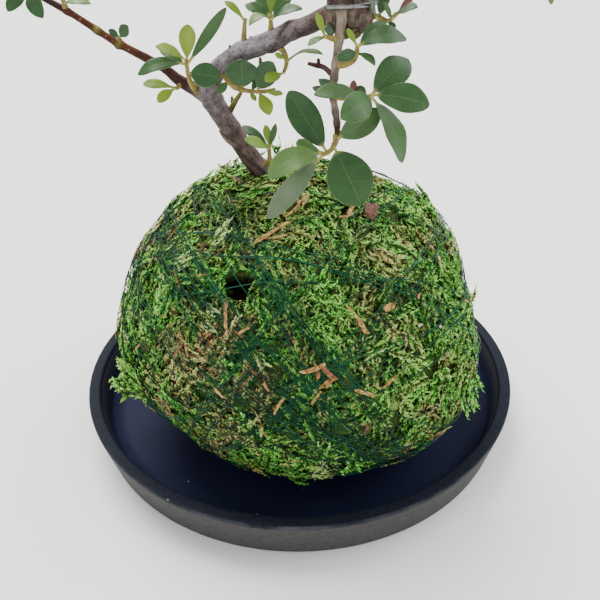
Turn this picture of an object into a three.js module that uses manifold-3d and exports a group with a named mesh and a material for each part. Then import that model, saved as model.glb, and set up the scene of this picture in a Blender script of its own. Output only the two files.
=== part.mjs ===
// Kokedama: a small evergreen shrub whose roots sit in a ball of soil, wrapped in moss, bound with
// thread and standing in a shallow saucer. Millimetres, +Z up; the origin is the centre of the
// saucer's underside, and the plant is seen from -Y in its usual view.
import * as THREE from 'three';
import { mergeVertices } from 'three/addons/utils/BufferGeometryUtils.js';
import Module from 'manifold-3d';

// Driving dimensions
const gap = 0.3;
const saucer = {
  radius: 75, footRadius: 71.7, height: 15, lip: 3.9, floor: 3, floorRadius: 65.5, edge: 0.8, segments: 48,
};
const ball = { x: 1, y: -10, z: 36, radius: 57.5, above: 54, below: 36, lump: 0.7, tuft: 0.4 };
const moss = { thickness: 7, soleThickness: 4.5, around: 38, rings: 24, innerAround: 20, innerRings: 12 };
const tear = { heading: 247, rise: 41, mouth: 3.8, throat: 2.6, sides: 9, overrun: 3 };
const thread = {
  turns: [[104, 55], [97, 30], [-110, 43], [158, 53], [-122, 60], [-127, 23]],
  halfWidth: 1, base: 1.3, crest: 0.8, steps: 32, lowest: 4.6,
};
const wire = {
  radius: 0.55, turns: 2.6, pitch: 1.9, reach: 6, centre: [13, -27.2], heading: -150, startZ: 132.75,
  stepsPerTurn: 12, sides: 5,
};
const leaf = {
  stalk: 0.09, stalkRadius: 0.42, thickness: 0.9, fold: 0.16, fullness: 0.58, widest: 1.15,
  youngTone: 0.55, youngWidest: 1.45, stations: [0, 0.22, 0.55, 0.85],
  shortLength: 6.5, shortStations: [0.25, 0.7],
};

// Hollows and swellings of the hand-packed ball: heading and rise of the middle in degrees,
// height in millimetres, and how many degrees it spreads over
const bulges = [
  { heading: 155, rise: 52, height: 1.5, spread: 22 },
  { heading: 178, rise: 30, height: 0.8, spread: 18 },
  { heading: 198, rise: 3, height: 2.0, spread: 18 },
  { heading: 225, rise: -11, height: -2.4, spread: 20 },
  { heading: 276, rise: -19, height: 1.4, spread: 20 },
  { heading: 318, rise: -10, height: 2.4, spread: 24 },
  { heading: 352, rise: 17, height: -2.4, spread: 18 },
  { heading: 8, rise: 40, height: 1.4, spread: 14 },
  { heading: 75, rise: 68, height: -1.0, spread: 25 },
  { heading: 100, rise: 10, height: 1.5, spread: 25 },
  { heading: 60, rise: -10, height: -1.5, spread: 22 },
];

// The wood: each limb's route, its radii evenly spaced along it, and the sides of its section.
// The trunk leans to the left out of the ball, and its upper branch comes back to the swollen knob,
// from which the stem of the crown rises and the front branch hangs.
const limbs = {
  trunk: { route: [[-2, -8, 62], [-4, -8.5, 76], [-8.5, -9.5, 87], [-11.5, -10.5, 91.5], [-14.5, -11, 96.5],
    [-17.5, -12, 102], [-20, -12.5, 106.5], [-22.5, -13, 111.5]],
    radii: [4.4, 3.9, 3.4, 3, 2.8, 2.7, 2.8, 2.9], sides: 8, steps: 12 },
  upperBranch: { route: [[-21, -13, 108.5], [-22, -13.5, 112.5], [-20.5, -14, 116], [-18, -15, 118.5],
    [-13.5, -16, 121.5], [-9.5, -17.5, 123], [-4, -19.5, 125], [-0.5, -21, 127], [4, -23, 128.5],
    [8, -25, 130.5], [12, -27, 132]],
    radii: [2.6, 2.7, 2.5, 2.4, 2.4, 2.5, 2.4, 2.2, 2.1, 2.1, 2.6], sides: 8, steps: 13 },
  leftShoot: { route: [[-22.5, -13, 110], [-26, -13, 112.5], [-30, -13, 115], [-33.5, -13, 118],
    [-41.5, -13, 122.5], [-45, -13, 124.5], [-54.5, -13, 131], [-62, -13, 135.5], [-69, -14, 141]],
    radii: [2, 1.6, 1.15, 1.05, 0.9, 0.95, 0.8, 0.75, 0.65], sides: 6, steps: 12 },
  crownStem: { route: [[12, -27, 129], [12, -27, 134], [13, -26, 142], [9, -22, 152.5], [4.5, -17, 164],
    [7.5, -13, 176], [5, -11, 188]],
    radii: [4.4, 3.7, 3.1, 2.6, 2, 1.4, 0.8], sides: 8, steps: 13 },
  frontBranch: { route: [[12, -25, 132], [11, -30, 132.5], [11, -32.3, 130.5], [10.5, -33, 127.5],
    [10, -34, 123.5], [9.5, -35, 120], [9, -36, 116], [9.5, -37, 112.5], [10, -37.5, 109], [10, -38, 106]],
    radii: [1.6, 1.5, 1.2, 1, 0.95, 1, 0.95, 0.9, 0.75, 0.7], sides: 6, steps: 14 },
  deadStub: { route: [[9.5, -35, 119], [7, -34, 121], [5.5, -33.5, 121.3], [3.5, -33, 121.7]],
    radii: [0.8, 0.65, 0.5, 0.5], sides: 5, steps: 4 },
  deadTip: { route: [[6, -33.7, 121], [5.8, -34, 122.8]], radii: [0.5, 0.4], sides: 5, steps: 1 },
  trunkTwig: { route: [[-17.5, -12, 106], [-16, -13.5, 108.5], [-13.5, -17, 112.2]],
    radii: [0.9, 0.7, 0.6], sides: 5, steps: 4 },
  crownRight: { route: [[12.7, -26, 143], [25, -22, 149], [39, -18, 149], [50, -16, 144.5]],
    radii: [1.7, 1.2, 1, 0.7], sides: 5, steps: 6 },
  crownLeft: { route: [[9, -22, 152], [-6, -18, 158], [-20, -14, 158], [-33, -11, 153]],
    radii: [1.6, 1.2, 0.9, 0.7], sides: 5, steps: 6 },
  crownBack: { route: [[7, -20, 157], [10, -4, 163], [14, 10, 162], [17, 24, 156]],
    radii: [1.5, 1.1, 0.9, 0.7], sides: 5, steps: 6 },
  crownFront: { route: [[5.5, -18, 161], [3, -32, 166], [4, -43, 164]],
    radii: [1.2, 1, 0.7], sides: 5, steps: 5 },
  crownUpperRight: { route: [[5, -16, 167], [17, -16, 175], [28, -18, 177]],
    radii: [1.2, 0.9, 0.7], sides: 5, steps: 5 },
  crownUpperLeft: { route: [[7.3, -13.5, 174], [-5, -9, 181], [-17, -6, 182]],
    radii: [1.1, 0.9, 0.6], sides: 5, steps: 5 },
};
const knob = { centre: [13, -27, 130.6], radii: [5.6, 4.8, 4.6], around: 12, rings: 7, lump: 0.12 };
const roots = {
  count: 4, from: [-2.5, -8, 66], radii: [1.9, 1.4, 1, 0.7], sides: 4, steps: 4, reach: 27, drop: 22,
  bends: [[0.3, 0.2], [0.7, 0.5], [1, 1]],
};
const twig = { radii: [0.85, 0.7, 0.65], sides: 5, stepsPerPiece: 2 };

// The leafy sprays. The twig's route is followed by its leaves: where the stalk leaves the twig, where
// the tip is, the blade's width, the way its upper face looks, how far the midrib arches, and its
// tone from 0, old and dark, to 1, young and yellow-green.
const sprays = {
  spray_low_rosette: { route: [[10, -38, 107], [9.6, -38.4, 105], [8.5, -38.9, 103.6],
    [6.5, -39, 102.5]], leaves: [
    [[9.2, -38.7, 104.5], [15.6, -45, 92.2], 10.8, [0, -3, 1], 1, 0.15],
    [[6.5, -39, 102.6], [-6, -45, 99.6], 6.8, [0, -2, 3], 2.6, 0.4],
    [[6.6, -39, 102.4], [-6.8, -42, 88], 5.2, [-2, -2, -1], 1, 0],
    [[7.6, -38.8, 103.2], [-1, -34, 116], 7.2, [0, -3, 1], -1.5, 0.1],
    [[6.5, -38.6, 103], [0.5, -34, 103.9], 5, [0, -3, -1], 0, 0.35],
    [[9.8, -38.4, 106], [19.6, -40, 112.8], 6, [1, -3, 1], 1, 0.25],
    [[9.6, -38.3, 105], [11.5, -36.5, 107.5], 1.5, [0, -2, 1], 0, 0.8],
  ] },
  spray_front_cluster: { route: [[9.2, -36, 115.3], [12.5, -40, 115.5], [15.5, -42.5, 116],
    [17, -43, 116.5]], leaves: [
    [[16.7, -42.8, 116.5], [25.3, -38, 122.9], 6.8, [-1, -3, 1], 1.5, 0.2],
    [[17, -43, 116.8], [29, -46, 115], 6.5, [0, -3, 2], 1.5, 0.2],
    [[17, -43, 116.2], [24, -47, 103], 6.5, [2, -2, 1], 1.5, 0.3],
    [[17, -43.5, 116.5], [9.8, -52, 114.2], 6.2, [0, -3, 1], 1, 0.3],
    [[15, -42.6, 116.3], [4.5, -44.5, 117.4], 4.5, [0, -2, 3], 1.2, 0.3],
    [[11, -38.5, 115.5], [4.5, -33, 116.5], 2.2, [0, -2, 1], 0, 0.1],
    [[12, -39.5, 115.6], [6, -32, 118], 2.6, [0, -3, 1], 0, 0.1],
    [[16, -42.5, 116.5], [14, -38, 117.5], 2.2, [0, -3, 1], 0, 0.3],
    [[13, -40, 115.6], [13.5, -38.5, 119], 1.6, [0, -3, 1], 0, 1.2],
  ] },
  spray_upper_twig: { route: [[10, -34.3, 121.5], [12, -37, 122], [13.5, -37.5, 123], [14, -38, 124.5],
    [14, -38, 125.8]],
    leaves: [
      [[14, -38, 125.5], [24.5, -38, 127], 5.5, [0, -2, 3], 2, 0.2],
      [[14, -38, 125.5], [20.5, -33.5, 130], 3.2, [-1, -3, 1], 0.8, 0.2],
      [[14, -38, 124.6], [9.4, -42, 124], 2.6, [0, -3, 1], 0.6, 0.1],
      [[14, -38, 124.3], [17.5, -42, 122.6], 2.4, [1, -2, 2], 0.8, 0.2],
      [[14, -38, 125.8], [12, -35.5, 129], 1.4, [0, -2, 1], 0, 0.8],
    ] },
  spray_bud_stub: { route: [[10.5, -33.2, 126.5], [9, -34.5, 127], [7, -35, 127.5]], leaves: [
    [[7.2, -35, 127.4], [5.5, -34, 132], 1.8, [1, -3, 1], 0, 0.9],
    [[7.4, -35, 127.4], [3.5, -37, 126], 2.4, [0, -1, 3], 0.4, 0.4],
    [[8.8, -34.6, 127], [8, -31, 129.5], 2.2, [0, -3, 1], 0, 0.1],
  ] },
  spray_knob: { route: [[16.5, -27, 131.3], [18, -28, 130.8], [19.5, -29, 130.4], [21.5, -30, 129.7],
    [23.5, -29.5, 131.2]],
    leaves: [
      [[19, -29.6, 130.3], [16.1, -36, 136], 2.4, [2, -2, 1], 0, 0.1],
      [[19.6, -29, 130.4], [21.5, -27, 137], 3.2, [1, -3, 1], -0.5, 0.1],
      [[22.4, -30, 130.2], [20, -32.5, 133.5], 2.4, [0, -1, 1], 0, 0.3],
      [[23.3, -29.6, 131], [27.2, -33, 132.7], 3.6, [0, -2, 3], 0.4, 0.3],
      [[21.5, -30, 129.7], [23, -31.5, 128.4], 1.4, [0, -3, 1], 0, 0.1],
      [[23.4, -29.5, 131], [27, -28, 134.5], 1.7, [0, -3, 1], 0, 1.3],
    ] },
  spray_fork: { route: [[-25.5, -14, 112.2], [-26.3, -16.5, 115], [-26.5, -18, 118],
    [-26.5, -18, 120.5]], leaves: [
    [[-26.3, -18, 120], [-25.2, -17.5, 128.5], 4.2, [1, -3, 1], -1, 0.9],
    [[-26.6, -18, 120.3], [-33.2, -19.5, 124], 3.4, [0, -2, 3], 1, 0.9],
    [[-26.8, -17.8, 119.2], [-33, -16.5, 122.5], 2.8, [0, -2, 3], 0.8, 0.35],
    [[-26.2, -18, 119.6], [-15.6, -17.5, 132], 2.9, [1, -3, 1], -1.2, 0.25],
    [[-26.8, -18, 119.5], [-38.5, -20, 117.6], 4.2, [-1, -2, 2], 2, 0.25],
    [[-26.5, -17.7, 117.4], [-17.8, -21, 116.8], 6, [0, -3, 1], 0.5, 0.1],
  ] },
  spray_shoot_foot: { route: [[-29.3, -13.5, 114.2], [-30, -14.6, 113.3], [-31, -15, 113.2]], leaves: [
    [[-30.6, -14.8, 113.2], [-39.5, -12, 114], 3, [0, -2, 2], 0.6, 0.75],
    [[-30.6, -15, 113.2], [-35, -18, 110.5], 3, [-1, -3, 1], 0.6, 0.8],
  ] },
  spray_branch_bud: { route: [[-12, -16.6, 123.4], [-11.7, -17, 126.5], [-11.3, -17, 129.5]], leaves: [
    [[-11.4, -17, 128.8], [-16, -16, 133.2], 1.9, [0, -2, 2], 1, 0.9],
  ] },
  spray_branch_rosette: { route: [[-5, -19, 126.3], [-5, -19, 128.5], [-5, -19, 130]], leaves: [
    [[-5, -19.2, 129.4], [-10, -22.5, 128.6], 3.6, [0, -1, 3], 1.5, 0.5],
    [[-5.2, -19, 129.6], [-11, -17.5, 132.5], 3.2, [0, -2, 2], 0.8, 0.3],
    [[-5, -18.8, 129.8], [-4.5, -17, 136], 2.6, [1, -3, 1], 0, 0.6],
    [[-4.8, -19, 129.6], [0.5, -16.5, 135], 3.2, [0, -2, 2], 0.6, 0.3],
    [[-4.8, -19.2, 129.4], [2.5, -21.5, 131.8], 3.4, [0, -2, 3], 1, 0.3],
    [[-5.1, -18.8, 129.8], [-8.5, -14, 135], 2.8, [0, -3, 1], 0, 0.3],
  ] },
  spray_underside: { route: [[-4, -19.5, 124.3], [-2, -20.5, 122.3], [-1.5, -21, 120],
    [-2.3, -21, 117.5]], leaves: [
    [[-1.5, -21, 120], [7.2, -25.5, 122.4], 3, [0, -1, 4], 1.6, 0.6],
    [[-2.4, -21.4, 117.6], [-6.6, -25.6, 116.6], 3.2, [0, -2, 2], 0.4, 0.8],
    [[-1.7, -20.8, 120.8], [-4.2, -22.3, 122.2], 1.4, [0, -3, 1], 0, 0.8],
  ] },
  spray_branch_face: { route: [[-18.3, -15.5, 117.6], [-16.5, -18, 115.6], [-14.8, -19.4, 114.3],
    [-12.5, -20.4, 113.6], [-8.5, -21, 113.2], [-4.5, -21, 113.6]], leaves: [
    [[-12.6, -20.4, 113.6], [-12.6, -21.6, 121], 8.2, [0, -3, 1], -0.6, 0.1],
    [[-9.2, -21, 113.3], [-4.8, -22.4, 120.4], 5.6, [0, -3, 1], -0.6, 0.1],
    [[-8.7, -21, 113.2], [-6, -25, 108.5], 3.6, [1, -3, 1], 0.6, 0.9],
    [[-7, -21, 113.2], [-2.6, -24, 113.2], 1.8, [0, -2, 2], 0, 0.8],
    [[-10.5, -20.8, 113.4], [-8.6, -18.6, 116], 1.8, [0, -3, 1], 0, 0.2],
    [[-16.3, -18, 115.3], [-19.3, -18.4, 112.6], 2.2, [0, -3, 1], 0, 0.3],
    [[-11, -20.6, 113.4], [-9.4, -22.6, 111.4], 1.4, [0, -2, 2], 0, 0.7],
  ] },
  spray_trunk_foot: { route: [[-9, -12, 91.4], [-7.4, -12.7, 92.6], [-7, -12.6, 97]], leaves: [
    [[-7, -12.8, 96], [-13.3, -17.4, 100.3], 3.4, [0, -2, 2], 0.6, 0.7],
    [[-7.1, -12.4, 96.6], [-14.6, -7.5, 101.2], 3, [0, -2, 2], 0.8, 0.15],
    [[-7, -12.6, 96.6], [-7.8, -12, 102.6], 2.2, [0, -3, 1], 0, 0.8],
    [[-6.9, -12.6, 96.6], [-5, -12.4, 103], 1.9, [1, -3, 1], 0, 0.3],
  ] },
  spray_shoot_middle: { route: [[-43.8, -13, 124], [-43.2, -14, 125.6]], leaves: [
    [[-43.2, -13.9, 125.4], [-40.4, -15, 128.2], 3, [0, -3, 1], 0, 0.1],
    [[-43.3, -13.9, 125.4], [-45.2, -15, 127.4], 1.8, [0, -3, 1], 0, 0.1],
  ] },
  spray_shoot_upper: { route: [[-55.5, -13, 131.7], [-55.4, -13.8, 133.5], [-55.6, -14, 135.5]], leaves: [
    [[-55.4, -13.8, 133.2], [-48.5, -15, 133.2], 3, [0, -2, 3], 0.8, 0.5],
    [[-55.6, -14, 135], [-52, -14.4, 140], 3.2, [0, -3, 1], 0, 0.6],
    [[-55.5, -14, 134.6], [-58.6, -16.5, 139.5], 3.2, [0, -3, 1], 0, 0.5],
  ] },
  spray_shoot_left: { route: [[-62, -13, 135.5], [-63, -15, 136.2]], leaves: [
    [[-62.8, -14.6, 136], [-59.4, -18.6, 130.6], 4, [0, -3, 1], 1, 0.1],
    [[-62.9, -14.8, 136], [-67.4, -18.6, 132.2], 3.4, [0, -3, 1], 1, 0.1],
    [[-63, -15, 136.1], [-64.5, -19.5, 141], 4, [0, -2, 3], 0.6, 0.3],
  ] },
};

// The crown: each rosette stands on a short shoot from the wood, and its leaves turn round that shoot
const crown = [
  { name: 'crown_right_tip', foot: [49.5, -16, 144.8], top: [58, -15.5, 139.5] },
  { name: 'crown_right', foot: [25, -22, 149], top: [23, -25, 157.5] },
  { name: 'crown_left_tip', foot: [-32.5, -11, 153.3], top: [-41, -10, 148.5] },
  { name: 'crown_left', foot: [-6, -18, 158], top: [-9, -21, 166] },
  { name: 'crown_back_tip', foot: [16.9, 23.5, 156.3], top: [19, 32, 152] },
  { name: 'crown_back', foot: [10, -4, 163], top: [7, -1, 171] },
  { name: 'crown_front', foot: [4, -42.5, 164.2], top: [5, -51.5, 161.5] },
  { name: 'crown_right_upper', foot: [27.5, -18, 177], top: [36, -20, 179] },
  { name: 'crown_left_upper', foot: [-16.5, -6, 182], top: [-25, -4, 184] },
  { name: 'crown_top', foot: [5, -11, 187.5], top: [7, -10, 196] },
];
const rosette = {
  leaves: 6, length: 13.5, width: 6.6, turn: 137.5, openAngle: 74, closedAngle: 28,
  lowest: 0.35, highest: 0.97, taper: 0.25, arch: 0.8, youngest: 0.7, stations: [0, 0.3, 0.75],
};

const wasm = await Module();
wasm.setup();

const vector = (p) => new THREE.Vector3(...p);
const radians = THREE.MathUtils.degToRad;
const hash = (n) => {
  const s = Math.sin(n * 12.9898) * 43758.5453;
  return s - Math.floor(s);
};

// A closed skin over rings of points that run counter-clockwise about the way from the first ring to
// the last. The ends close on a point each, or the last ring joins the first. The diagonals alternate,
// so that both faces of a thin blade are split alike.
function skin(rings, ends) {
  const count = rings[0].length;
  const points = rings.flat();
  const index = [];
  const bands = ends ? rings.length - 1 : rings.length;
  for (let i = 0; i < bands; i++) {
    for (let j = 0; j < count; j++) {
      const a = i * count + j;
      const b = i * count + (j + 1) % count;
      const next = (i + 1) % rings.length * count;
      const c = next + (j + 1) % count;
      const d = next + j;
      if (j % 2) index.push(a, b, d, b, c, d);
      else index.push(a, b, c, a, c, d);
    }
  }
  if (ends) {
    const last = (rings.length - 1) * count;
    points.push(...ends);
    for (let j = 0; j < count; j++) {
      index.push(points.length - 2, (j + 1) % count, j);
      index.push(points.length - 1, last + j, last + (j + 1) % count);
    }
  }
  const geometry = new THREE.BufferGeometry().setFromPoints(points);
  geometry.setIndex(index);
  return geometry;
}

function solid(geometry) {
  const bare = geometry.clone();
  bare.deleteAttribute('normal');
  bare.deleteAttribute('uv');
  const merged = mergeVertices(bare);
  return new wasm.Manifold(new wasm.Mesh({
    numProp: 3,
    vertProperties: new Float32Array(merged.attributes.position.array),
    triVerts: new Uint32Array(merged.index.array),
  }));
}

function surface(manifold) {
  const mesh = manifold.getMesh();
  const geometry = new THREE.BufferGeometry();
  geometry.setAttribute('position', new THREE.BufferAttribute(mesh.vertProperties, 3));
  geometry.setIndex(new THREE.BufferAttribute(mesh.triVerts, 1));
  geometry.computeVertexNormals();
  return geometry;
}

const join = (solids) => solids.reduce((sum, piece) => sum.add(piece));

// The largest body of a solid: scraps that a cut leaves loose are dropped
const whole = (manifold) => manifold.decompose().sort((a, b) => b.volume() - a.volume())[0];

// A round limb along a smooth route, thickness given by evenly spaced radii
function limb({ route, radii, sides, steps }, extra = 0) {
  const curve = new THREE.CatmullRomCurve3(route.map(vector));
  const frames = curve.computeFrenetFrames(steps, false);
  const rings = [];
  for (let i = 0; i <= steps; i++) {
    const along = i / steps * (radii.length - 1);
    const k = Math.min(Math.floor(along), radii.length - 2);
    const radius = THREE.MathUtils.lerp(radii[k], radii[k + 1], along - k) + extra;
    const centre = curve.getPointAt(i / steps);
    rings.push(Array.from({ length: sides }, (_, j) => {
      const angle = 2 * Math.PI * j / sides;
      return centre.clone()
        .addScaledVector(frames.normals[i], radius * Math.cos(angle))
        .addScaledVector(frames.binormals[i], radius * Math.sin(angle));
    }));
  }
  return solid(skin(rings, [curve.getPointAt(0), curve.getPointAt(1)]));
}

// A unit vector from its heading round +Z and its rise, in radians
const direction = (heading, rise) => new THREE.Vector3(
  Math.cos(heading) * Math.cos(rise), Math.sin(heading) * Math.cos(rise), Math.sin(rise));

// How far the ball's surface lies from its middle: a half-flattened ellipsoid, with bulges and lumps
function ballRadius(d) {
  const height = d.z > 0 ? ball.above : ball.below;
  let radius = 1 / Math.hypot(Math.hypot(d.x, d.y) / ball.radius, d.z / height);
  for (const bulge of bulges) {
    const away = d.angleTo(direction(radians(bulge.heading), radians(bulge.rise))) / radians(bulge.spread);
    radius += bulge.height * Math.exp(-away * away);
  }
  return radius + ball.lump * Math.sin(11 * d.x + 1.3) * Math.sin(10 * d.y + 0.4) * Math.cos(9 * d.z);
}

const ballCentre = new THREE.Vector3(ball.x, ball.y, ball.z);

// The ball's skin at a depth under its surface, flattened where it rests
function ballSkin(around, rings, depth, sole, tuft) {
  const point = (heading, rise, n) => {
    const d = direction(heading, rise);
    const p = d.clone().multiplyScalar(ballRadius(d) - depth + tuft * (2 * hash(n) - 1)).add(ballCentre);
    p.z = Math.max(p.z, sole);
    return p;
  };
  const lines = [];
  for (let i = 1; i < rings; i++) {
    const rise = -Math.PI / 2 + Math.PI * i / rings;
    const turn = (_, j) => point(2 * Math.PI * j / around, rise, i * around + j);
    lines.push(Array.from({ length: around }, turn));
  }
  return solid(skin(lines, [point(0, -Math.PI / 2, 0), point(0, Math.PI / 2, 0)]));
}

function makeSaucer() {
  const { radius, footRadius, height, lip, floor, floorRadius, edge, segments } = saucer;
  const inner = radius - lip;
  const profile = [
    [0, 0], [footRadius - edge, 0], [footRadius, edge], [radius - edge / 2, height - 1.75 * edge],
    [radius, height - edge], [radius - edge / 3, height], [inner + edge / 3, height - edge / 5],
    [inner, height - edge], [floorRadius + 3.2, floor + 2.4], [floorRadius + 1.8, floor + 0.6],
    [floorRadius, floor], [0, floor],
  ];
  const geometry = new THREE.LatheGeometry(profile.map(([r, z]) => new THREE.Vector2(r, z)), segments);
  return surface(solid(geometry.rotateX(Math.PI / 2)));
}

// All the wood, swollen by a clearance where it cuts its seat in what it passes through
function makeWood(extra) {
  const bodies = Object.values(limbs).map((each) => limb(each, extra));
  const lines = [];
  for (let i = 1; i < knob.rings; i++) {
    const rise = -Math.PI / 2 + Math.PI * i / knob.rings;
    lines.push(Array.from({ length: knob.around }, (_, j) => {
      const swell = 1 + knob.lump * (2 * hash(i * knob.around + j) - 1);
      const d = direction(2 * Math.PI * j / knob.around, rise);
      return new THREE.Vector3(...knob.radii.map((r, axis) => (r * swell + extra) * d.getComponent(axis)))
        .add(vector(knob.centre));
    }));
  }
  const pole = new THREE.Vector3(0, 0, knob.radii[2] + extra);
  const ends = [vector(knob.centre).sub(pole), vector(knob.centre).add(pole)];
  bodies.push(solid(skin(lines, ends)));
  for (let i = 0; i < roots.count; i++) {
    const heading = 2 * Math.PI * (i + 0.3 * hash(i + 1)) / roots.count;
    const drop = roots.drop * (0.8 + 0.4 * hash(i + 9));
    const [x, y, z] = roots.from;
    const route = [roots.from];
    for (const [out, down] of roots.bends) {
      const reach = out * roots.reach;
      route.push([x + reach * Math.cos(heading), y + reach * Math.sin(heading), z - down * drop]);
    }
    bodies.push(limb({ ...roots, route }, extra));
  }
  return whole(join(bodies));
}

// The torn place in the moss: a short tapered plug that is cut out of it
function makeTear() {
  const d = direction(radians(tear.heading), radians(tear.rise));
  const reach = ballRadius(d);
  const at = (distance) => ballCentre.clone().addScaledVector(d, distance).toArray();
  const route = [at(reach - moss.thickness - tear.overrun), at(reach + tear.overrun)];
  return limb({ route, radii: [tear.throat, tear.mouth], sides: tear.sides, steps: 1 });
}

// One turn of thread round the ball in a plane tilted by so many degrees: a low three-sided ridge
function threadTurn(heading, tilt) {
  const level = direction(heading, 0);
  const normal = new THREE.Vector3(0, 0, 1).applyAxisAngle(level, tilt);
  const rising = normal.clone().cross(level);
  const rings = [];
  for (let i = 0; i < thread.steps; i++) {
    const angle = 2 * Math.PI * i / thread.steps;
    const d = level.clone().multiplyScalar(Math.cos(angle)).addScaledVector(rising, Math.sin(angle));
    const foot = d.clone().multiplyScalar(ballRadius(d) + thread.base).add(ballCentre);
    const crest = foot.clone().addScaledVector(d, thread.crest);
    rings.push([foot.clone().addScaledVector(normal, thread.halfWidth), crest,
      foot.clone().addScaledVector(normal, -thread.halfWidth)]);
  }
  return solid(skin(rings, null));
}

// The turns cross and hold each other. They lie on the moss, end at the ball's flat foot, and part
// round the trunk.
function makeThread(seat, bed) {
  const turns = join(thread.turns.map(([heading, tilt]) => threadTurn(radians(heading), radians(tilt))));
  const under = new THREE.BoxGeometry(4 * ball.radius, 4 * ball.radius, 2 * thread.lowest);
  return whole(turns.subtract(solid(under)).subtract(seat).subtract(bed));
}

class Winding extends THREE.Curve {
  constructor(radius) {
    super();
    this.radius = radius;
  }

  getPoint(t, target = new THREE.Vector3()) {
    const angle = 2 * Math.PI * wire.turns * t + THREE.MathUtils.degToRad(wire.heading);
    const [x, y] = wire.centre;
    return target.set(x + this.radius * Math.cos(angle), y + this.radius * Math.sin(angle),
      wire.startZ + wire.pitch * wire.turns * t);
  }
}

// The wire winds loosely round the trunk just above the knob, off the bark
function makeWire() {
  const path = new Winding(wire.reach);
  const section = new THREE.Shape(Array.from({ length: wire.sides }, (_, i) => {
    const angle = 2 * Math.PI * i / wire.sides;
    return new THREE.Vector2(wire.radius * Math.cos(angle), wire.radius * Math.sin(angle));
  }));
  const steps = Math.round(wire.turns * wire.stepsPerTurn);
  const geometry = new THREE.ExtrudeGeometry(section, { steps, extrudePath: path });
  return surface(solid(geometry));
}

// One leaf: a thin stalk that widens into a folded, arched blade, lens-shaped across
function makeLeaf([from, to, width, face, arch, tone, given]) {
  const start = vector(from);
  const along = vector(to).sub(start);
  const length = along.length();
  const axis = along.clone().normalize();
  const up = vector(face).normalize();
  up.addScaledVector(axis, -up.dot(axis)).normalize();
  const side = axis.clone().cross(up);
  const widest = tone > leaf.youngTone ? leaf.youngWidest : leaf.widest;
  const stations = given ?? (length < leaf.shortLength ? leaf.shortStations : leaf.stations);
  const rings = [[0, leaf.stalkRadius, leaf.stalkRadius]];
  for (const v of stations) {
    const share = Math.sin(Math.PI * v ** widest) ** leaf.fullness;
    const half = Math.max(width / 2 * share, leaf.stalkRadius);
    const thick = THREE.MathUtils.lerp(leaf.stalkRadius, leaf.thickness / 2, share);
    rings.push([leaf.stalk + (1 - leaf.stalk) * v, half, thick]);
  }
  const lines = rings.map(([u, half, thick]) => {
    const middle = start.clone().addScaledVector(along, u).addScaledVector(up, 4 * arch * u * (1 - u));
    const edge = middle.clone().addScaledVector(up, leaf.fold * (half - leaf.stalkRadius));
    return [edge.clone().addScaledVector(side, half), middle.clone().addScaledVector(up, -thick),
      edge.clone().addScaledVector(side, -half), middle.clone().addScaledVector(up, thick)];
  });
  return solid(skin(lines, [start, vector(to)]));
}

// A spray: its twig with the leaves sunk into it, cut clear of the wood
function makeSpray({ route, leaves }, seat) {
  const stem = limb({ ...twig, route, steps: twig.stepsPerPiece * (route.length - 1) });
  return whole(join([stem, ...leaves.map(makeLeaf)]).subtract(seat));
}

// The leaves of a crown rosette: a spiral round its shoot, wide open at the foot and closer at the top
function crownLeaves({ foot, top }, seed) {
  const axis = vector(top).sub(vector(foot)).normalize();
  const side = new THREE.Vector3(0, 1, 0).cross(axis).normalize();
  return Array.from({ length: rosette.leaves }, (_, k) => {
    const share = k / (rosette.leaves - 1);
    const turned = side.clone().applyAxisAngle(axis, radians(rosette.turn) * k + 6 * hash(seed + 3));
    const angle = radians(THREE.MathUtils.lerp(rosette.openAngle, rosette.closedAngle, share));
    const out = axis.clone().multiplyScalar(Math.cos(angle)).addScaledVector(turned, Math.sin(angle));
    const length = rosette.length * (0.8 + 0.35 * hash(seed * 17 + k)) * (1 - rosette.taper * share);
    const from = vector(foot).lerp(vector(top), THREE.MathUtils.lerp(rosette.lowest, rosette.highest, share));
    const to = from.clone().addScaledVector(out, length);
    const face = new THREE.Vector3(0, 0, 1).addScaledVector(axis, 1.2).addScaledVector(turned, -0.3);
    const width = rosette.width * (0.75 + 0.35 * hash(seed * 31 + k));
    const tone = rosette.youngest * hash(seed * 7 + k);
    return [from.toArray(), to.toArray(), width, face.toArray(), rosette.arch, tone, rosette.stations];
  });
}

const plant = new THREE.Group();
function add(name, geometry, color, roughness, metalness = 0) {
  const mesh = new THREE.Mesh(geometry, new THREE.MeshStandardMaterial({ color, roughness, metalness }));
  mesh.name = name;
  plant.add(mesh);
}

const wood = makeWood(0);
const seat = makeWood(gap);
const soilDepth = moss.thickness + gap;
const mossSole = saucer.floor + gap;
const soilSole = mossSole + moss.soleThickness + gap;
const outer = ballSkin(moss.around, moss.rings, 0, mossSole, ball.tuft);
const bed = ballSkin(moss.around, moss.rings, -gap, mossSole, ball.tuft);
const hollow = ballSkin(moss.innerAround, moss.innerRings, moss.thickness, soilSole - gap, 0);
const soil = ballSkin(moss.innerAround, moss.innerRings, soilDepth, soilSole, 0);

add('saucer', makeSaucer(), 0x25272d, 0.55);
add('soil_core', surface(whole(soil.subtract(seat))), 0x2b1d14, 0.95);
add('moss_layer', surface(whole(outer.subtract(hollow).subtract(seat).subtract(makeTear()))), 0x5c7a25, 0.95);
add('binding_thread', surface(makeThread(seat, bed)), 0x0f3d33, 0.6);
add('trunk', surface(wood), 0x6b5750, 0.85);
add('training_wire', makeWire(), 0x9fa6a8, 0.4, 1);
for (const [name, spray] of Object.entries(sprays)) {
  add(name, surface(makeSpray(spray, seat)), 0x4f7440, 0.5);
}
crown.forEach((each, i) => {
  const spray = { route: [each.foot, each.top], leaves: crownLeaves(each, i + 1) };
  add(each.name, surface(makeSpray(spray, seat)), 0x4a6b3a, 0.5);
});

export default plant;
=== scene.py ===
import math

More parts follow.
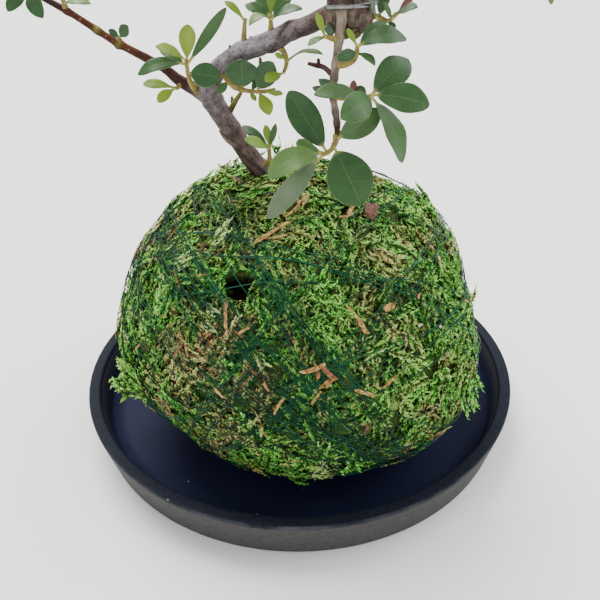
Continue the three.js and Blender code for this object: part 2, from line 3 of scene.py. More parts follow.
import bpy
import numpy as np
from mathutils import Matrix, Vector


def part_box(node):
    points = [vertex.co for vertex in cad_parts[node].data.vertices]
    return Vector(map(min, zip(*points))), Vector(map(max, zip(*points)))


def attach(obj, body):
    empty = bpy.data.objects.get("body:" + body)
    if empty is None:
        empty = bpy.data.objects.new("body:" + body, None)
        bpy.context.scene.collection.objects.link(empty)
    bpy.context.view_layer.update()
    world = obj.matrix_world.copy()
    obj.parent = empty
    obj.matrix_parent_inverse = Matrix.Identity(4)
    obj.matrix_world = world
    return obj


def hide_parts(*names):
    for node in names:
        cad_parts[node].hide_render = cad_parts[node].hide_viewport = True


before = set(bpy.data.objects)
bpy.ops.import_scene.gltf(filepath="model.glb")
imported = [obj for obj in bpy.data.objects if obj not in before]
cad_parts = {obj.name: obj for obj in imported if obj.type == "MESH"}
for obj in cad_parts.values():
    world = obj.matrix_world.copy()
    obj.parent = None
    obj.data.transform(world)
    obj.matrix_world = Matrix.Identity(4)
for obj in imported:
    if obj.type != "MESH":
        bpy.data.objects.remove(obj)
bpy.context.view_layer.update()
scene = bpy.context.scene

# The camera stands close in front of the plant, a little above its foliage, and looks down on the ball.
# The floor is one plain pale sheet, and the light is a wide soft sky with two broad lamps behind.
eye = (0.0007, -0.1723, 0.1452)
look_down = math.radians(31.75)
roll = math.radians(-1.09)
floor_half = 6.0
camera_data = bpy.data.cameras.new("camera")
camera_data.lens = 34.8
camera_data.clip_start = 0.01
camera = bpy.data.objects.new("camera", camera_data)
camera.matrix_world = (Matrix.Translation(eye) @ Matrix.Rotation(math.pi / 2 - look_down, 4, "X")
                       @ Matrix.Rotation(roll, 4, "Z"))
scene.collection.objects.link(camera)
scene.camera = camera


def give(tree, made, inputs):
    """Gives a node its inputs, as values or as sockets to link. A colour is given without its alpha."""
    for key, value in dict(inputs).items():
        socket = made.inputs[key]
        if isinstance(value, bpy.types.NodeSocket):
            tree.links.new(value, socket)
        else:
            socket.default_value = (*value, 1) if socket.type == "RGBA" else value
    return made


def new_material(name, **shader_values):
    """A material with these values set on its shader, as (material, tree, shader)."""
    material = bpy.data.materials.new(name)
    material.use_nodes = True
    tree = material.node_tree
    values = {key.replace("_", " "): value for key, value in shader_values.items()}
    return material, tree, give(tree, tree.nodes["Principled BSDF"], values)


floor_paper, _, _ = new_material("floor_paper", Base_Color=(0.88, 0.87, 0.85), Roughness=0.8)
floor_mesh = bpy.data.meshes.new("floor")
floor_mesh.from_pydata([(-floor_half, -floor_half, 0), (floor_half, -floor_half, 0),
                        (floor_half, floor_half, 0), (-floor_half, floor_half, 0)], [], [(0, 1, 2, 3)])
floor_mesh.materials.append(floor_paper)
floor = bpy.data.objects.new("floor", floor_mesh)
scene.collection.objects.link(floor)

sky = bpy.data.worlds.new("sky")
sky.use_nodes = True
give(sky.node_tree, sky.node_tree.nodes["Background"], {"Color": (0.95, 0.97, 1), "Strength": 1.25})
scene.world = sky


def add_lamp(name, heading, rise, strength, spread, colour):
    """A lamp as wide as the spread, so far off that it lights everything alike, at a heading round +Z and a
    rise over the level, in degrees."""
    data = bpy.data.lights.new(name, "SUN")
    data.angle = math.radians(spread)
    data.energy = strength
    data.color = colour
    lamp = bpy.data.objects.new(name, data)
    lamp.matrix_world = (Matrix.Rotation(math.radians(heading - 90), 4, "Z")
                         @ Matrix.Rotation(math.radians(rise - 90), 4, "X"))
    scene.collection.objects.link(lamp)


add_lamp("window_lamp", 120, 56, 4.6, 40, (1, 0.98, 0.95))
add_lamp("side_lamp", 20, 48, 1.8, 50, (0.97, 0.98, 1))

# The saucer: one injection moulding in matt black plastic, with a wide flat lip, a steep inner wall and a
# flat floor. It lies loose on the table, and the ball stands loose in it.
mm = 0.001


def unit(vectors):
    """The vectors divided by their lengths."""
    return vectors / np.linalg.norm(vectors, axis=-1, keepdims=True)


def circle(count):
    """Angles evenly spaced round a full turn."""
    return np.linspace(0, 2 * np.pi, count, endpoint=False)


def parabola(t, start, bend, end):
    """The point at t, 0 to 1, on the parabola that leaves its start for the bend and stops at its end."""
    return (1 - t) ** 2 * start + 2 * t * (1 - t) * bend + t ** 2 * end


def rounded(corners, cuts, steps=6):
    """The outline through these corners with each rounded off: a corner gives way to the parabola that
    leaves the edge before it and meets the edge after it at the cut's distance from the corner."""
    corners = np.array(corners, float)
    here = corners[1:-1]
    cut = np.array(cuts)[:, None]
    start = here + cut * unit(corners[:-2] - here)
    end = here + cut * unit(corners[2:] - here)
    arcs = parabola(np.linspace(0, 1, steps)[None, :, None], start[:, None], here[:, None], end[:, None])
    return np.vstack([corners[:1], arcs.reshape(-1, 2), corners[-1:]])


def skin(rings, first=None, last=None):
    """Points and triangles of closed skins. rings is an array (skins, rings, around, 3), whose points run
    counter-clockwise about the way from a skin's first ring to its last. Each four-sided patch between
    neighbouring rings is split in two. The ends close in fans on the points given for them, one per
    skin, and with none given the last ring joins the first."""
    skins, count, around = rings.shape[:3]
    bands = count if first is None else count - 1
    i, j = np.meshgrid(np.arange(bands), np.arange(around), indexing="ij")
    here = i * around
    above = (i + 1) % count * around
    turn = (j + 1) % around
    faces = np.stack([np.stack([here + j, here + turn, above + turn], -1),
                      np.stack([here + j, above + turn, above + j], -1)]).reshape(-1, 3)
    points = rings.reshape(skins, -1, 3)
    if first is not None:
        j = np.arange(around)
        turn = (j + 1) % around
        size = count * around
        foot = np.stack([np.full(around, size), turn, j], -1)
        head = np.stack([np.full(around, size + 1), size - around + j, size - around + turn], -1)
        faces = np.vstack([faces, foot, head])
        points = np.concatenate([points, first.reshape(skins, 1, 3), last.reshape(skins, 1, 3)], 1)
    starts = np.arange(skins)[:, None, None] * points.shape[1]
    return points.reshape(-1, 3), (faces + starts).reshape(-1, 3)


def add_piece(name, points, faces, material, slot, replaced=(), values=(), smooth=True):
    """A piece of the object from points in millimetres and triangles, with a value or a vector for each
    point under each name in values, and its edges softened or left sharp."""
    mesh = bpy.data.meshes.new(name)
    mesh.vertices.add(len(points))
    mesh.vertices.foreach_set("co", (points * mm).astype(np.float32).ravel())
    mesh.loops.add(faces.size)
    mesh.loops.foreach_set("vertex_index", faces.astype(np.int32).ravel())
    mesh.polygons.add(len(faces))
    mesh.polygons.foreach_set("loop_start", np.arange(0, faces.size, 3, dtype=np.int32))
    mesh.polygons.foreach_set("use_smooth", np.full(len(faces), smooth))
    for key, value in dict(values).items():
        kind, field = ("FLOAT", "value") if value.ndim == 1 else ("FLOAT_VECTOR", "vector")
        held = mesh.attributes.new(key, kind, "POINT")
        held.data.foreach_set(field, value.astype(np.float32).ravel())
    mesh.update(calc_edges=True)
    mesh.materials.append(material)
    piece = bpy.data.objects.new(name, mesh)
    scene.collection.objects.link(piece)
    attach(piece, "root")
    if replaced:
        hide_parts(*replaced)


def node(tree, kind, inputs=(), **settings):
    """A new node in this tree, with its settings and its inputs."""
    made = tree.nodes.new(kind)
    for key, value in settings.items():
        setattr(made, key, value)
    return give(tree, made, inputs)


def mix(tree, share, low, high, blend="MIX"):
    """The colour between low and high at this share, or low times high to that share for MULTIPLY."""
    made = node(tree, "ShaderNodeMix", {0: share, 6: low, 7: high}, data_type="RGBA", blend_type=blend)
    return made.outputs[2]


def calc(tree, operation, *values, clamp=False):
    """One operation, such as ADD, on values or sockets."""
    return node(tree, "ShaderNodeMath", enumerate(values), operation=operation, use_clamp=clamp).outputs[0]


def scaled(tree, vector, scales):
    """A vector whose three parts are each multiplied by a scale."""
    return node(tree, "ShaderNodeVectorMath", {0: vector, 1: scales}, operation="MULTIPLY").outputs[0]


def remap(tree, value, low=0, high=1, to_low=0, to_high=1):
    """The value carried over from the range low to high to a new range, and held inside it."""
    inputs = {"Value": value, "From Min": low, "From Max": high, "To Min": to_low, "To Max": to_high}
    return node(tree, "ShaderNodeMapRange", inputs).outputs["Result"]


def object_place(tree):
    """Where a point lies in the piece's own frame, in metres."""
    return node(tree, "ShaderNodeTexCoord").outputs["Object"]


def height_part(tree, vector):
    """The upward part of a vector."""
    return node(tree, "ShaderNodeSeparateXYZ", {0: vector}).outputs["Z"]


def mottle_group():
    """Cloudy variation between two colours, with the same clouds put out as a height."""
    group = bpy.data.node_groups.new("mottle", "ShaderNodeTree")
    inputs = {"Vector": "Vector", "Scale": "Float", "Contrast": "Float", "Low": "Color", "High": "Color"}
    for way, kinds in (("INPUT", inputs), ("OUTPUT", {"Color": "Color", "Height": "Float"})):
        for key, kind in kinds.items():
            group.interface.new_socket(key, in_out=way, socket_type="NodeSocket" + kind)
    given = node(group, "NodeGroupInput").outputs
    noise = node(group, "ShaderNodeTexNoise",
                 {"Vector": given["Vector"], "Scale": given["Scale"], "Detail": 4.0, "Roughness": 0.6})
    centred = calc(group, "SUBTRACT", noise.outputs["Fac"], 0.5)
    spread = calc(group, "MULTIPLY_ADD", centred, given["Contrast"], 0.5, clamp=True)
    colour = mix(group, spread, given["Low"], given["High"])
    node(group, "NodeGroupOutput", {"Color": colour, "Height": spread})
    return group


mottle = mottle_group()


def clouds(tree, vector, scale, contrast, low=(0, 0, 0), high=(1, 1, 1)):
    """The mottle group in a material, at a scale and a contrast: its colour and its height."""
    inputs = {"Vector": vector, "Scale": scale, "Contrast": contrast, "Low": low, "High": high}
    made = node(tree, "ShaderNodeGroup", inputs, node_tree=mottle)
    return made.outputs["Color"], made.outputs["Height"]


def cover(material, shader, colour, height=None, strength=0.0, depth=0.0):
    """The material with this colour, its surface raised by a height socket: depth is the relief in metres
    at height 1."""
    tree = material.node_tree
    tree.links.new(colour, shader.inputs["Base Color"])
    if height is not None:
        raised = node(tree, "ShaderNodeBump", {"Height": height, "Strength": strength, "Distance": depth})
        tree.links.new(raised.outputs["Normal"], shader.inputs["Normal"])
    return material


def moulded_plastic():
    """Matt black plastic: dark inside, dusty grey on the lip and outside, paler on the outer wall below the
    lip, partly as a dusty film and partly as painted light thrown up from the pale floor, with a worn pale
    line on the lip's outer edge and a few white specks on the floor."""
    material, tree, shader = new_material("moulded_black_plastic", Roughness=0.6, Specular_IOR_Level=0.07)
    lip_inner, lip_outer, worn_edge, worn_width = 0.0695, 0.0712, 0.0747, 0.0004
    wall_top, wall_below = 0.0138, 0.013
    place = object_place(tree)
    reach = node(tree, "ShaderNodeVectorMath", {0: scaled(tree, place, (1, 1, 0))},
                 operation="LENGTH").outputs["Value"]
    inside, _ = clouds(tree, place, 60.0, 1.2, (0.0095, 0.0115, 0.031), (0.0145, 0.0165, 0.046))
    outside, grain = clouds(tree, place, 1300.0, 2.2, (0.004, 0.006, 0.01), (0.013, 0.015, 0.026))
    on_lip = remap(tree, reach, lip_inner, lip_outer)
    below_lip = remap(tree, height_part(tree, place), wall_top, wall_below)
    # The outer wall below the lip is made paler, partly as a dusty film and partly as painted light thrown
    # up on it from the pale floor.
    dust_and_floor_light, _ = clouds(tree, place, 900.0, 1.8, (0.035, 0.034, 0.034), (0.075, 0.073, 0.07))
    colour = mix(tree, on_lip, inside, outside)
    colour = mix(tree, calc(tree, "MULTIPLY", below_lip, on_lip), colour, dust_and_floor_light)
    from_edge = calc(tree, "ABSOLUTE", calc(tree, "SUBTRACT", reach, worn_edge))
    patchy, _ = clouds(tree, place, 90.0, 3.0)
    worn = calc(tree, "MULTIPLY", remap(tree, from_edge, 0, worn_width, 0.4, 0), patchy)
    colour = mix(tree, worn, colour, (0.12, 0.12, 0.13))
    spots = node(tree, "ShaderNodeTexVoronoi", {"Vector": place, "Scale": 130.0}).outputs["Distance"]
    colour = mix(tree, remap(tree, spots, 0.035, 0.05, 0.5, 0), colour, (0.35, 0.36, 0.38))
    return cover(material, shader, colour, grain, 0.5, 0.0001)


_, saucer_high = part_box("saucer")
saucer_radius = saucer_high.x / mm
saucer_height = saucer_high.z / mm
saucer_floor = 3.0
saucer_around = 180
saucer_corners = [(0.02, 0), (saucer_radius - 3.3, 0), (saucer_radius - 0.4, saucer_height - 1.4),
                  (saucer_radius - 0.2, saucer_height), (saucer_radius - 3.9, saucer_height - 0.3),
                  (saucer_radius - 6.4, saucer_floor + 2), (saucer_radius - 9.5, saucer_floor),
                  (0.02, saucer_floor)]
saucer_profile = rounded(saucer_corners, (0.9, 0.8, 0.6, 0.7, 1.2, 1.5))
out, up = saucer_profile[:, :1], saucer_profile[:, 1:]
turns = circle(saucer_around)
saucer_rings = np.stack([out * np.cos(turns), out * np.sin(turns), up + 0 * turns], -1)[None]
add_piece("saucer_moulding", *skin(saucer_rings, np.array([0, 0, 0.0]), np.array([0, 0, saucer_floor])),
          moulded_plastic(), "saucer_plastic", ["saucer"])

# The soil ball: moist dark potting soil pressed round the roots by hand. It shows only through the torn
# place in the moss, and it has the same flattened round shape as the moss round it, one layer in.
ball_centre = np.array([1.0, -10.0, 36.0])
ball_radius = 57.5
ball_above = 54.0
ball_below = 36.0
ball_lump = 0.7
moss_thickness = 7.3
soil_sole = 8.1
bulges = ((155, 52, 1.5, 22), (178, 30, 0.8, 18), (198, 3, 2.0, 18), (225, -11, -2.4, 20),
          (276, -19, 1.4, 20), (318, -10, 2.4, 24), (352, 17, -2.4, 18), (8, 40, 1.4, 14),
          (75, 68, -1.0, 25), (100, 10, 1.5, 25), (60, -10, -1.5, 22))


def direction(heading, rise):
    """Unit vectors from headings round +Z and rises over the level, in degrees."""
    heading, rise = np.broadcast_arrays(np.radians(heading), np.radians(rise))
    return np.stack([np.cos(heading) * np.cos(rise), np.sin(heading) * np.cos(rise), np.sin(rise)], -1)


def bell(ways, heading, rise, spread):
    """exp(-(angle / spread) squared) of the angle in degrees from unit vectors to a heading and rise."""
    angle = np.degrees(np.arccos(np.clip(ways @ direction(heading, rise), -1, 1)))
    return np.exp(-(angle / spread) ** 2)


def ball_reach(ways):
    """How far the ball's surface lies from its middle along unit vectors: an ellipsoid that is lower below
    than above, plus a bell curve for each bulge (heading, rise, height, spread), plus small sine lumps."""
    x, y, z = np.moveaxis(ways, -1, 0)
    half_height = np.where(z > 0, ball_above, ball_below)
    reach = 1 / np.hypot(np.hypot(x, y) / ball_radius, z / half_height)
    for heading, rise, height, spread in bulges:
        reach += height * bell(ways, heading, rise, spread)
    return reach + ball_lump * np.sin(11 * x + 1.3) * np.sin(10 * y + 0.4) * np.cos(9 * z)


def wander(points, size, seed, waves=8):
    """A smooth random height of about -1 to 1: the sum of a few sine waves in random directions, whose
    wavelength is the given size."""
    draw = np.random.default_rng(seed)
    ways = draw.normal(size=(waves, 3))
    ways *= 2 * np.pi / size / np.linalg.norm(ways, axis=1, keepdims=True)
    return np.sin(points @ ways.T + draw.uniform(0, 2 * np.pi, waves)).sum(-1) / math.sqrt(2 * waves)


def globe(around, rings):
    """Unit vectors to all sides, on a grid of headings and rises without the two poles."""
    rises = np.linspace(-90, 90, rings + 2)[1:-1]
    return direction(np.linspace(0, 360, around, endpoint=False)[None, :], rises[:, None])


def ball_skin(around, rings, depth, sole, rough):
    """A closed skin at a depth under the ball's surface, on a grid of headings and rises, roughened by
    wander at two sizes and flattened where it rests."""
    ways = globe(around, rings)
    level = ball_centre + ways * (ball_reach(ways) - depth(ways))[..., None]
    level += ways * rough * (wander(level, 4.0, 1) + 0.6 * wander(level, 1.7, 2))[..., None]
    level[..., 2] = np.maximum(level[..., 2], sole)
    top = ball_centre + np.array([0, 0, ball_above - 1.0 - depth(direction(0, 90))])
    return skin(level[None], np.array([ball_centre[0], ball_centre[1], sole]), top)


def soil_depths(ways):
    """The soil lies one thickness of moss under the ball's surface."""
    return np.full(ways.shape[:-1], moss_thickness)


def potting_soil():
    """Dark moist soil: near-black crumbs with a few paler ones."""
    material, tree, shader = new_material("potting_soil", Roughness=1.0, Specular_IOR_Level=0.05)
    colour, height = clouds(tree, object_place(tree), 900.0, 2.5,
                            (0.004, 0.003, 0.002), (0.02, 0.012, 0.008))
    return cover(material, shader, colour, height, 0.8, 0.0006)


add_piece("soil_ball", *ball_skin(around=96, rings=56, depth=soil_depths, sole=soil_sole, rough=0.35),
          potting_soil(), "soil", ["soil_core"])

# The wood: the shrub's own trunk, its upper branch, knob, shoots, hanging branch, crown branches and roots,
# all grown as one. The bark is thin, smooth and grey-purple on old wood, and red-brown on young shoots.
limbs = {
    "trunk": ([(-2, -8, 62), (-4, -8.5, 76), (-8.5, -9.5, 87), (-11.5, -10.5, 91.5), (-14.5, -11, 96.5),
               (-17.5, -12, 102), (-20, -12.5, 106.5), (-22.5, -13, 111.5)],
              (4.4, 3.9, 3.4, 3, 2.8, 2.7, 2.8, 2.9),
              ((0, 0.22), (0.4, 0.2), (0.62, 0.18), (0.85, 0.16), (1, 0.06))),
    "upper_branch": ([(-21, -13, 108.5), (-22, -13.5, 112.5), (-20.5, -14, 116), (-18, -15, 118.5),
                      (-13.5, -16, 121.5), (-9.5, -17.5, 123), (-4, -19.5, 125), (-0.5, -21, 127),
                      (4, -23, 128.5), (8, -25, 130.5), (12, -27, 132)],
                     (2.6, 2.7, 2.5, 2.4, 2.4, 2.5, 2.4, 2.2, 2.1, 2.1, 2.6),
                     ((0, 0.08), (0.5, 0), (0.8, 0.14), (1, 0.3))),
    "left_shoot": ([(-22.5, -13, 110), (-26, -13, 112.5), (-30, -13, 115), (-33.5, -13, 118),
                    (-41.5, -13, 122.5), (-45, -13, 124.5), (-54.5, -13, 131), (-62, -13, 135.5),
                    (-69, -14, 141)], (2, 1.6, 1.15, 1.05, 0.9, 0.85, 0.8, 0.75, 0.65),
                   ((0, 0.28), (0.12, 0.56), (0.3, 0.62), (0.43, 0.66), (0.45, 0.95), (0.48, 0.68),
                    (0.54, 0.72), (0.56, 1), (0.58, 0.72), (0.68, 0.64), (0.72, 0.55), (1, 0.55))),
    "crown_stem": ([(12, -27, 129), (12, -27, 134), (13, -26, 142), (9, -22, 152.5), (4.5, -17, 164),
                    (7.5, -13, 176), (5, -11, 188)], (4.4, 3.7, 3.1, 2.6, 2, 1.4, 0.8),
                   ((0, 0.3), (0.3, 0.2), (1, 0.5))),
    "front_branch": ([(12, -25, 132), (11, -30, 132.5), (11, -32.3, 130.5), (10.5, -33, 127.5),
                      (10, -34, 123.5), (9.5, -35, 120), (9, -36, 116), (9.5, -37, 112.5),
                      (10, -37.5, 109), (10, -38, 106)],
                     (1.6, 1.5, 1.2, 1, 0.95, 0.9, 0.85, 0.75, 0.7, 0.65),
                     ((0, 0.34), (0.35, 0.36), (0.66, 0.36), (0.72, 0.5), (0.76, 0.4), (0.84, 0.48),
                      (0.92, 0.52), (1, 0.95))),
    "dead_stub": ([(9.5, -35, 119), (7, -34, 121), (5.5, -33.5, 121.3), (3.5, -33, 121.7)],
                  (0.8, 0.6, 0.55, 0.4), ((0, 0.5), (1, 0.58))),
    "dead_tip": ([(6, -33.7, 121), (5.8, -34, 122.8)], (0.5, 0.35), ((0, 0.56),)),
    "trunk_twig": ([(-17.5, -12, 106), (-16, -13.5, 108.5), (-13.5, -17, 112.2)], (0.9, 0.7, 0.5),
                   ((0, 0.8), (0.4, 1))),
    "crown_right": ([(12.7, -26, 143), (25, -22, 149), (39, -18, 149), (50, -16, 144.5)],
                    (1.7, 1.2, 1, 0.7), ((0, 0.3), (1, 0.7))),
    "crown_left": ([(9, -22, 152), (-6, -18, 158), (-20, -14, 158), (-33, -11, 153)],
                   (1.6, 1.2, 0.9, 0.7), ((0, 0.3), (1, 0.7))),
    "crown_back": ([(7, -20, 157), (10, -4, 163), (14, 10, 162), (17, 24, 156)], (1.5, 1.1, 0.9, 0.7),
                   ((0, 0.3), (1, 0.7))),
    "crown_front": ([(5.5, -18, 161), (3, -32, 166), (4, -43, 164)], (1.2, 1, 0.7), ((0, 0.5), (1, 0.75))),
    "crown_upper_right": ([(5, -16, 167), (17, -16, 175), (28, -18, 177)], (1.2, 0.9, 0.7),
                          ((0, 0.5), (1, 0.75))),
    "crown_upper_left": ([(7.3, -13.5, 174), (-5, -9, 181), (-17, -6, 182)], (1.1, 0.9, 0.6),
                         ((0, 0.5), (1, 0.75))),
    "foot_ridge": ([(-20.5, -12.5, 101.5), (-19, -13.4, 99.6), (-16.1, -14, 97.3), (-13, -13.7, 94.2),
                    (-9.3, -12.6, 90.8), (-7.5, -12, 88)], (0.3, 0.7, 0.75, 0.8, 0.9, 0.8),
                   ((0, 0.3), (1, 0.12))),
    "right_root": ([(-10, -11, 92), (-7, -11.2, 88.5), (-4, -12, 86)], (1.6, 1.5, 1.1),
                   ((0, 0.3), (1, 0.4))),
}
limb_sides = 24
limb_rings_per_mm = 2.4
bark_ridge = 0.032
swellings = {
    "trunk": ((0.62, 0.12), (0.8, 0.16), (0.96, 0.3)),
    "upper_branch": ((0.38, 0.25), (0.56, 0.2), (0.7, 0.2)),
    "left_shoot": ((0.455, 0.5), (0.56, 0.22), (0.7, 0.2)),
    "crown_stem": ((0.35, 0.3), (0.55, 0.3), (0.75, 0.25)),
    "front_branch": ((0.37, 0.2), (0.52, 0.25), (0.61, 0.2), (0.72, 0.3), (0.82, 0.2), (0.9, 0.25)),
}
swelling_length = 0.9
bud_scars = ((-18.6, -15.3, 120.6), (-15.5, -16.3, 123.1), (-10.1, -17.5, 125.2), (-5.8, -18.8, 126.4),
             (-2.1, -20, 127.9), (1, -22, 129.1), (-16.4, -12.2, 109.9), (-8, -18.3, 120.4))
knob_centre = np.array([13, -27, 130.6])
knob_radii = np.array([5.6, 4.8, 4.6])
root_start = np.array([-2.5, -8, 66])
root_count = 4
root_reach = 27.0
root_drop = 22.0
scar_pitch = 22.0
scar_middle = 29.5
scar_half_length = 13
scar_half_width = 0.45
scar_depth = 0.4
scar_tone = 0.22


def smooth_route(route, count):
    """Points evenly spaced along the smooth curve through the route: a Catmull-Rom spline whose knots are
    apart by the square roots of the distances between its points."""
    p = np.array(route, float)
    p = np.vstack([2 * p[0] - p[1], p, 2 * p[-1] - p[-2]])
    knots = np.linalg.norm(np.diff(p, axis=0), axis=1, keepdims=True) ** 0.5
    d0, d1, d2 = knots[:-2], knots[1:-1], knots[2:]
    p0, p1, p2, p3 = p[:-3], p[1:-2], p[2:-1], p[3:]
    leave = ((p1 - p0) / d0 - (p2 - p0) / (d0 + d1) + (p2 - p1) / d1) * d1
    arrive = ((p2 - p1) / d1 - (p3 - p1) / (d1 + d2) + (p3 - p2) / d2) * d1
    t = np.linspace(0, 1, 20, endpoint=False)[None, :, None]
    curve = ((2 * t ** 3 - 3 * t ** 2 + 1) * p1[:, None] + (t ** 3 - 2 * t ** 2 + t) * leave[:, None]
             + (3 * t ** 2 - 2 * t ** 3) * p2[:, None] + (t ** 3 - t ** 2) * arrive[:, None]).reshape(-1, 3)
    curve = np.vstack([curve, p[-2]])
    reach = np.concatenate([[0], np.cumsum(np.linalg.norm(np.diff(curve, axis=0), axis=1))])
    even = np.linspace(0, reach[-1], count)
    return np.stack([np.interp(even, reach, curve[:, axis]) for axis in range(3)], -1), even


def grown_limb(route, radii, tones, sides, per_mm, rough, swell=(), scar=False):
    """A round limb along a smooth route. Its radius follows the evenly spaced radii, times 1 plus wander
    along and round it, plus a bell curve at each swelling (share of the length, height). A scar is a spiral
    groove that an old wire has left. Also each point's place on the limb laid straight, and its tone, which
    follows the (share, tone) pairs."""
    length = np.linalg.norm(np.diff(np.array(route, float), axis=0), axis=1).sum()
    centres, reach = smooth_route(route, max(4, int(length * per_mm)))
    along = unit(np.gradient(centres, axis=0))
    chord = np.abs(centres[-1] - centres[0])
    side = unit(np.cross(along, np.eye(3)[np.argmin(chord)]))
    up = np.cross(along, side)
    share = reach / reach[-1]
    radius = np.interp(share, np.linspace(0, 1, len(radii)), radii)[:, None]
    for place, height in swell:
        radius = radius + height * np.exp(-((reach[:, None] - place * reach[-1]) / swelling_length) ** 2)
    turn = circle(sides)[None, :]
    straight = np.stack([radius * np.cos(turn), radius * np.sin(turn), reach[:, None] + 0 * turn], -1)
    straight[..., 2] += 7.3 * route[0][2]
    ridges = wander(straight * (1, 1, 0.4), 2.8, 5) + 0.5 * wander(straight * (1, 1, 0.6), 1.2, 6)
    swollen = radius * (1 + rough * ridges)
    tone = np.interp(share, *zip(*tones))[:, None] + 0 * turn
    if scar:
        spiral = turn + 2 * np.pi * (reach[:, None] - scar_middle) / scar_pitch
        beside = (spiral + np.pi / 2) % (2 * np.pi) - np.pi
        from_middle = (reach[:, None] - scar_middle) / scar_half_length
        groove = np.exp(-(beside * radius / scar_half_width) ** 2 - from_middle ** 4)
        swollen = swollen - scar_depth * groove
        tone = tone + groove * (scar_tone - tone)
    rings = centres[:, None] + (swollen * np.cos(turn))[..., None] * side[:, None]
    rings += (swollen * np.sin(turn))[..., None] * up[:, None]
    points, faces = skin(rings[None], centres[0], centres[-1] + 0.3 * radii[-1] * along[-1])
    places, _ = skin(straight[None], straight[0].mean(0), straight[-1].mean(0))
    return points, faces, places, np.concatenate([tone.ravel(), [tone[0, 0], tone[-1, 0]]])


def gather(bodies):
    """One body from several (points, faces, values...) bodies, end to end."""
    starts = np.cumsum([0] + [len(body[0]) for body in bodies[:-1]])
    faces = np.vstack([body[1] + start for body, start in zip(bodies, starts)])
    return (np.vstack([body[0] for body in bodies]), faces,
            *[np.concatenate(value) for value in zip(*[body[2:] for body in bodies])])


def hash_value(n):
    """A repeatable value from 0 to 1 for a whole number."""
    return (math.sin(n * 12.9898) * 43758.5453) % 1.0


def swollen_knob():
    """The knob: an ellipsoid whose reach is 1 plus wander at two sizes, like old pruning scars. Its
    underside has a film of olive moss, which is given by the tone."""
    places = globe(48, 32) * knob_radii
    swell = 1 + 0.09 * wander(places, 3.6, 11) + 0.05 * wander(places, 1.4, 12)
    ends = np.array([0, 0, knob_radii[2]])
    rings = knob_centre + places * swell[..., None]
    points, faces = skin(rings[None], knob_centre - ends, knob_centre + ends)
    from_middle = points - knob_centre
    film = np.clip((-2.0 - from_middle[:, 2] + 1.5 * wander(points, 2.5, 13)) / 1.5, 0, 1)
    return points, faces, from_middle, 0.3 + 0.12 * wander(points, 2.0, 14) + 0.66 * film


def attribute(tree, name, output="Fac"):
    """A value that the piece carries for each point."""
    return node(tree, "ShaderNodeAttribute", attribute_name=name).outputs[output]


def ramp(tree, value, stops):
    """The colour of a value on a scale from 0 to 1, from the colours at these places on it."""
    made = node(tree, "ShaderNodeValToRGB", {"Fac": value})
    elements = made.color_ramp.elements
    for place, colour in stops.items():
        element = elements[-place] if place in (0, 1) else elements.new(place)
        element.color = (*colour, 1)
    return made.outputs["Color"]


def dimmed(tree, colour, share):
    """The colour times a share."""
    return node(tree, "ShaderNodeVectorMath", {0: colour, "Scale": share}, operation="SCALE").outputs[0]


def thin_bark():
    """Thin bark: its colour follows the limb's tone, from silvery grey over brown-purple, tan and red-brown
    to yellow-green. Fine cracks, small pale pores and dark specks lie along each limb as if it were
    straight. The underside of a limb is darkened and its top kept pale as painted shade."""
    material, tree, shader = new_material("thin_bark", Roughness=0.5, Specular_IOR_Level=0.12)
    place = attribute(tree, "straight", "Vector")
    tone = attribute(tree, "tone")
    dark = ramp(tree, tone, {0: (0.1, 0.075, 0.085), 0.2: (0.02, 0.01, 0.007), 0.4: (0.06, 0.036, 0.026),
                             0.55: (0.024, 0.01, 0.01), 0.7: (0.045, 0.009, 0.002), 1: (0.13, 0.12, 0.02)})
    light = ramp(tree, tone, {0: (0.56, 0.51, 0.54), 0.2: (0.24, 0.148, 0.115), 0.4: (0.52, 0.43, 0.33),
                              0.55: (0.1, 0.04, 0.034), 0.7: (0.2, 0.052, 0.011), 1: (0.4, 0.38, 0.1)})
    colour, height = clouds(tree, scaled(tree, place, (1, 1, 0.8)), 0.42, 2.1, dark, light)
    stretched = scaled(tree, place, (1, 1, 0.28))
    cracks, depth = clouds(tree, stretched, 3.0, 2.6, (0.42, 0.39, 0.38), (1.22, 1.22, 1.22))
    colour = mix(tree, 0.75, colour, cracks, "MULTIPLY")
    pores = node(tree, "ShaderNodeTexVoronoi",
                 {"Vector": scaled(tree, place, (0.6, 0.6, 1.2)), "Scale": 0.8})
    picked = node(tree, "ShaderNodeSeparateColor", {0: pores.outputs["Color"]}).outputs[0]
    spot = mix(tree, calc(tree, "GREATER_THAN", picked, 0.75), (0.03, 0.018, 0.015), (0.3, 0.23, 0.18))
    colour = mix(tree, remap(tree, pores.outputs["Distance"], 0.13, 0.2, 0.7, 0), colour, spot)
    # Painted shade: the colour is darkened where the surface faces down and kept pale where it faces up,
    # for light falling from above.
    upward = height_part(tree, node(tree, "ShaderNodeNewGeometry").outputs["Normal"])
    colour = dimmed(tree, colour, remap(tree, upward, -0.5, 0.6, 0.36, 0.95))
    return cover(material, shader, colour, calc(tree, "ADD", height, depth), 0.4, 0.0002)


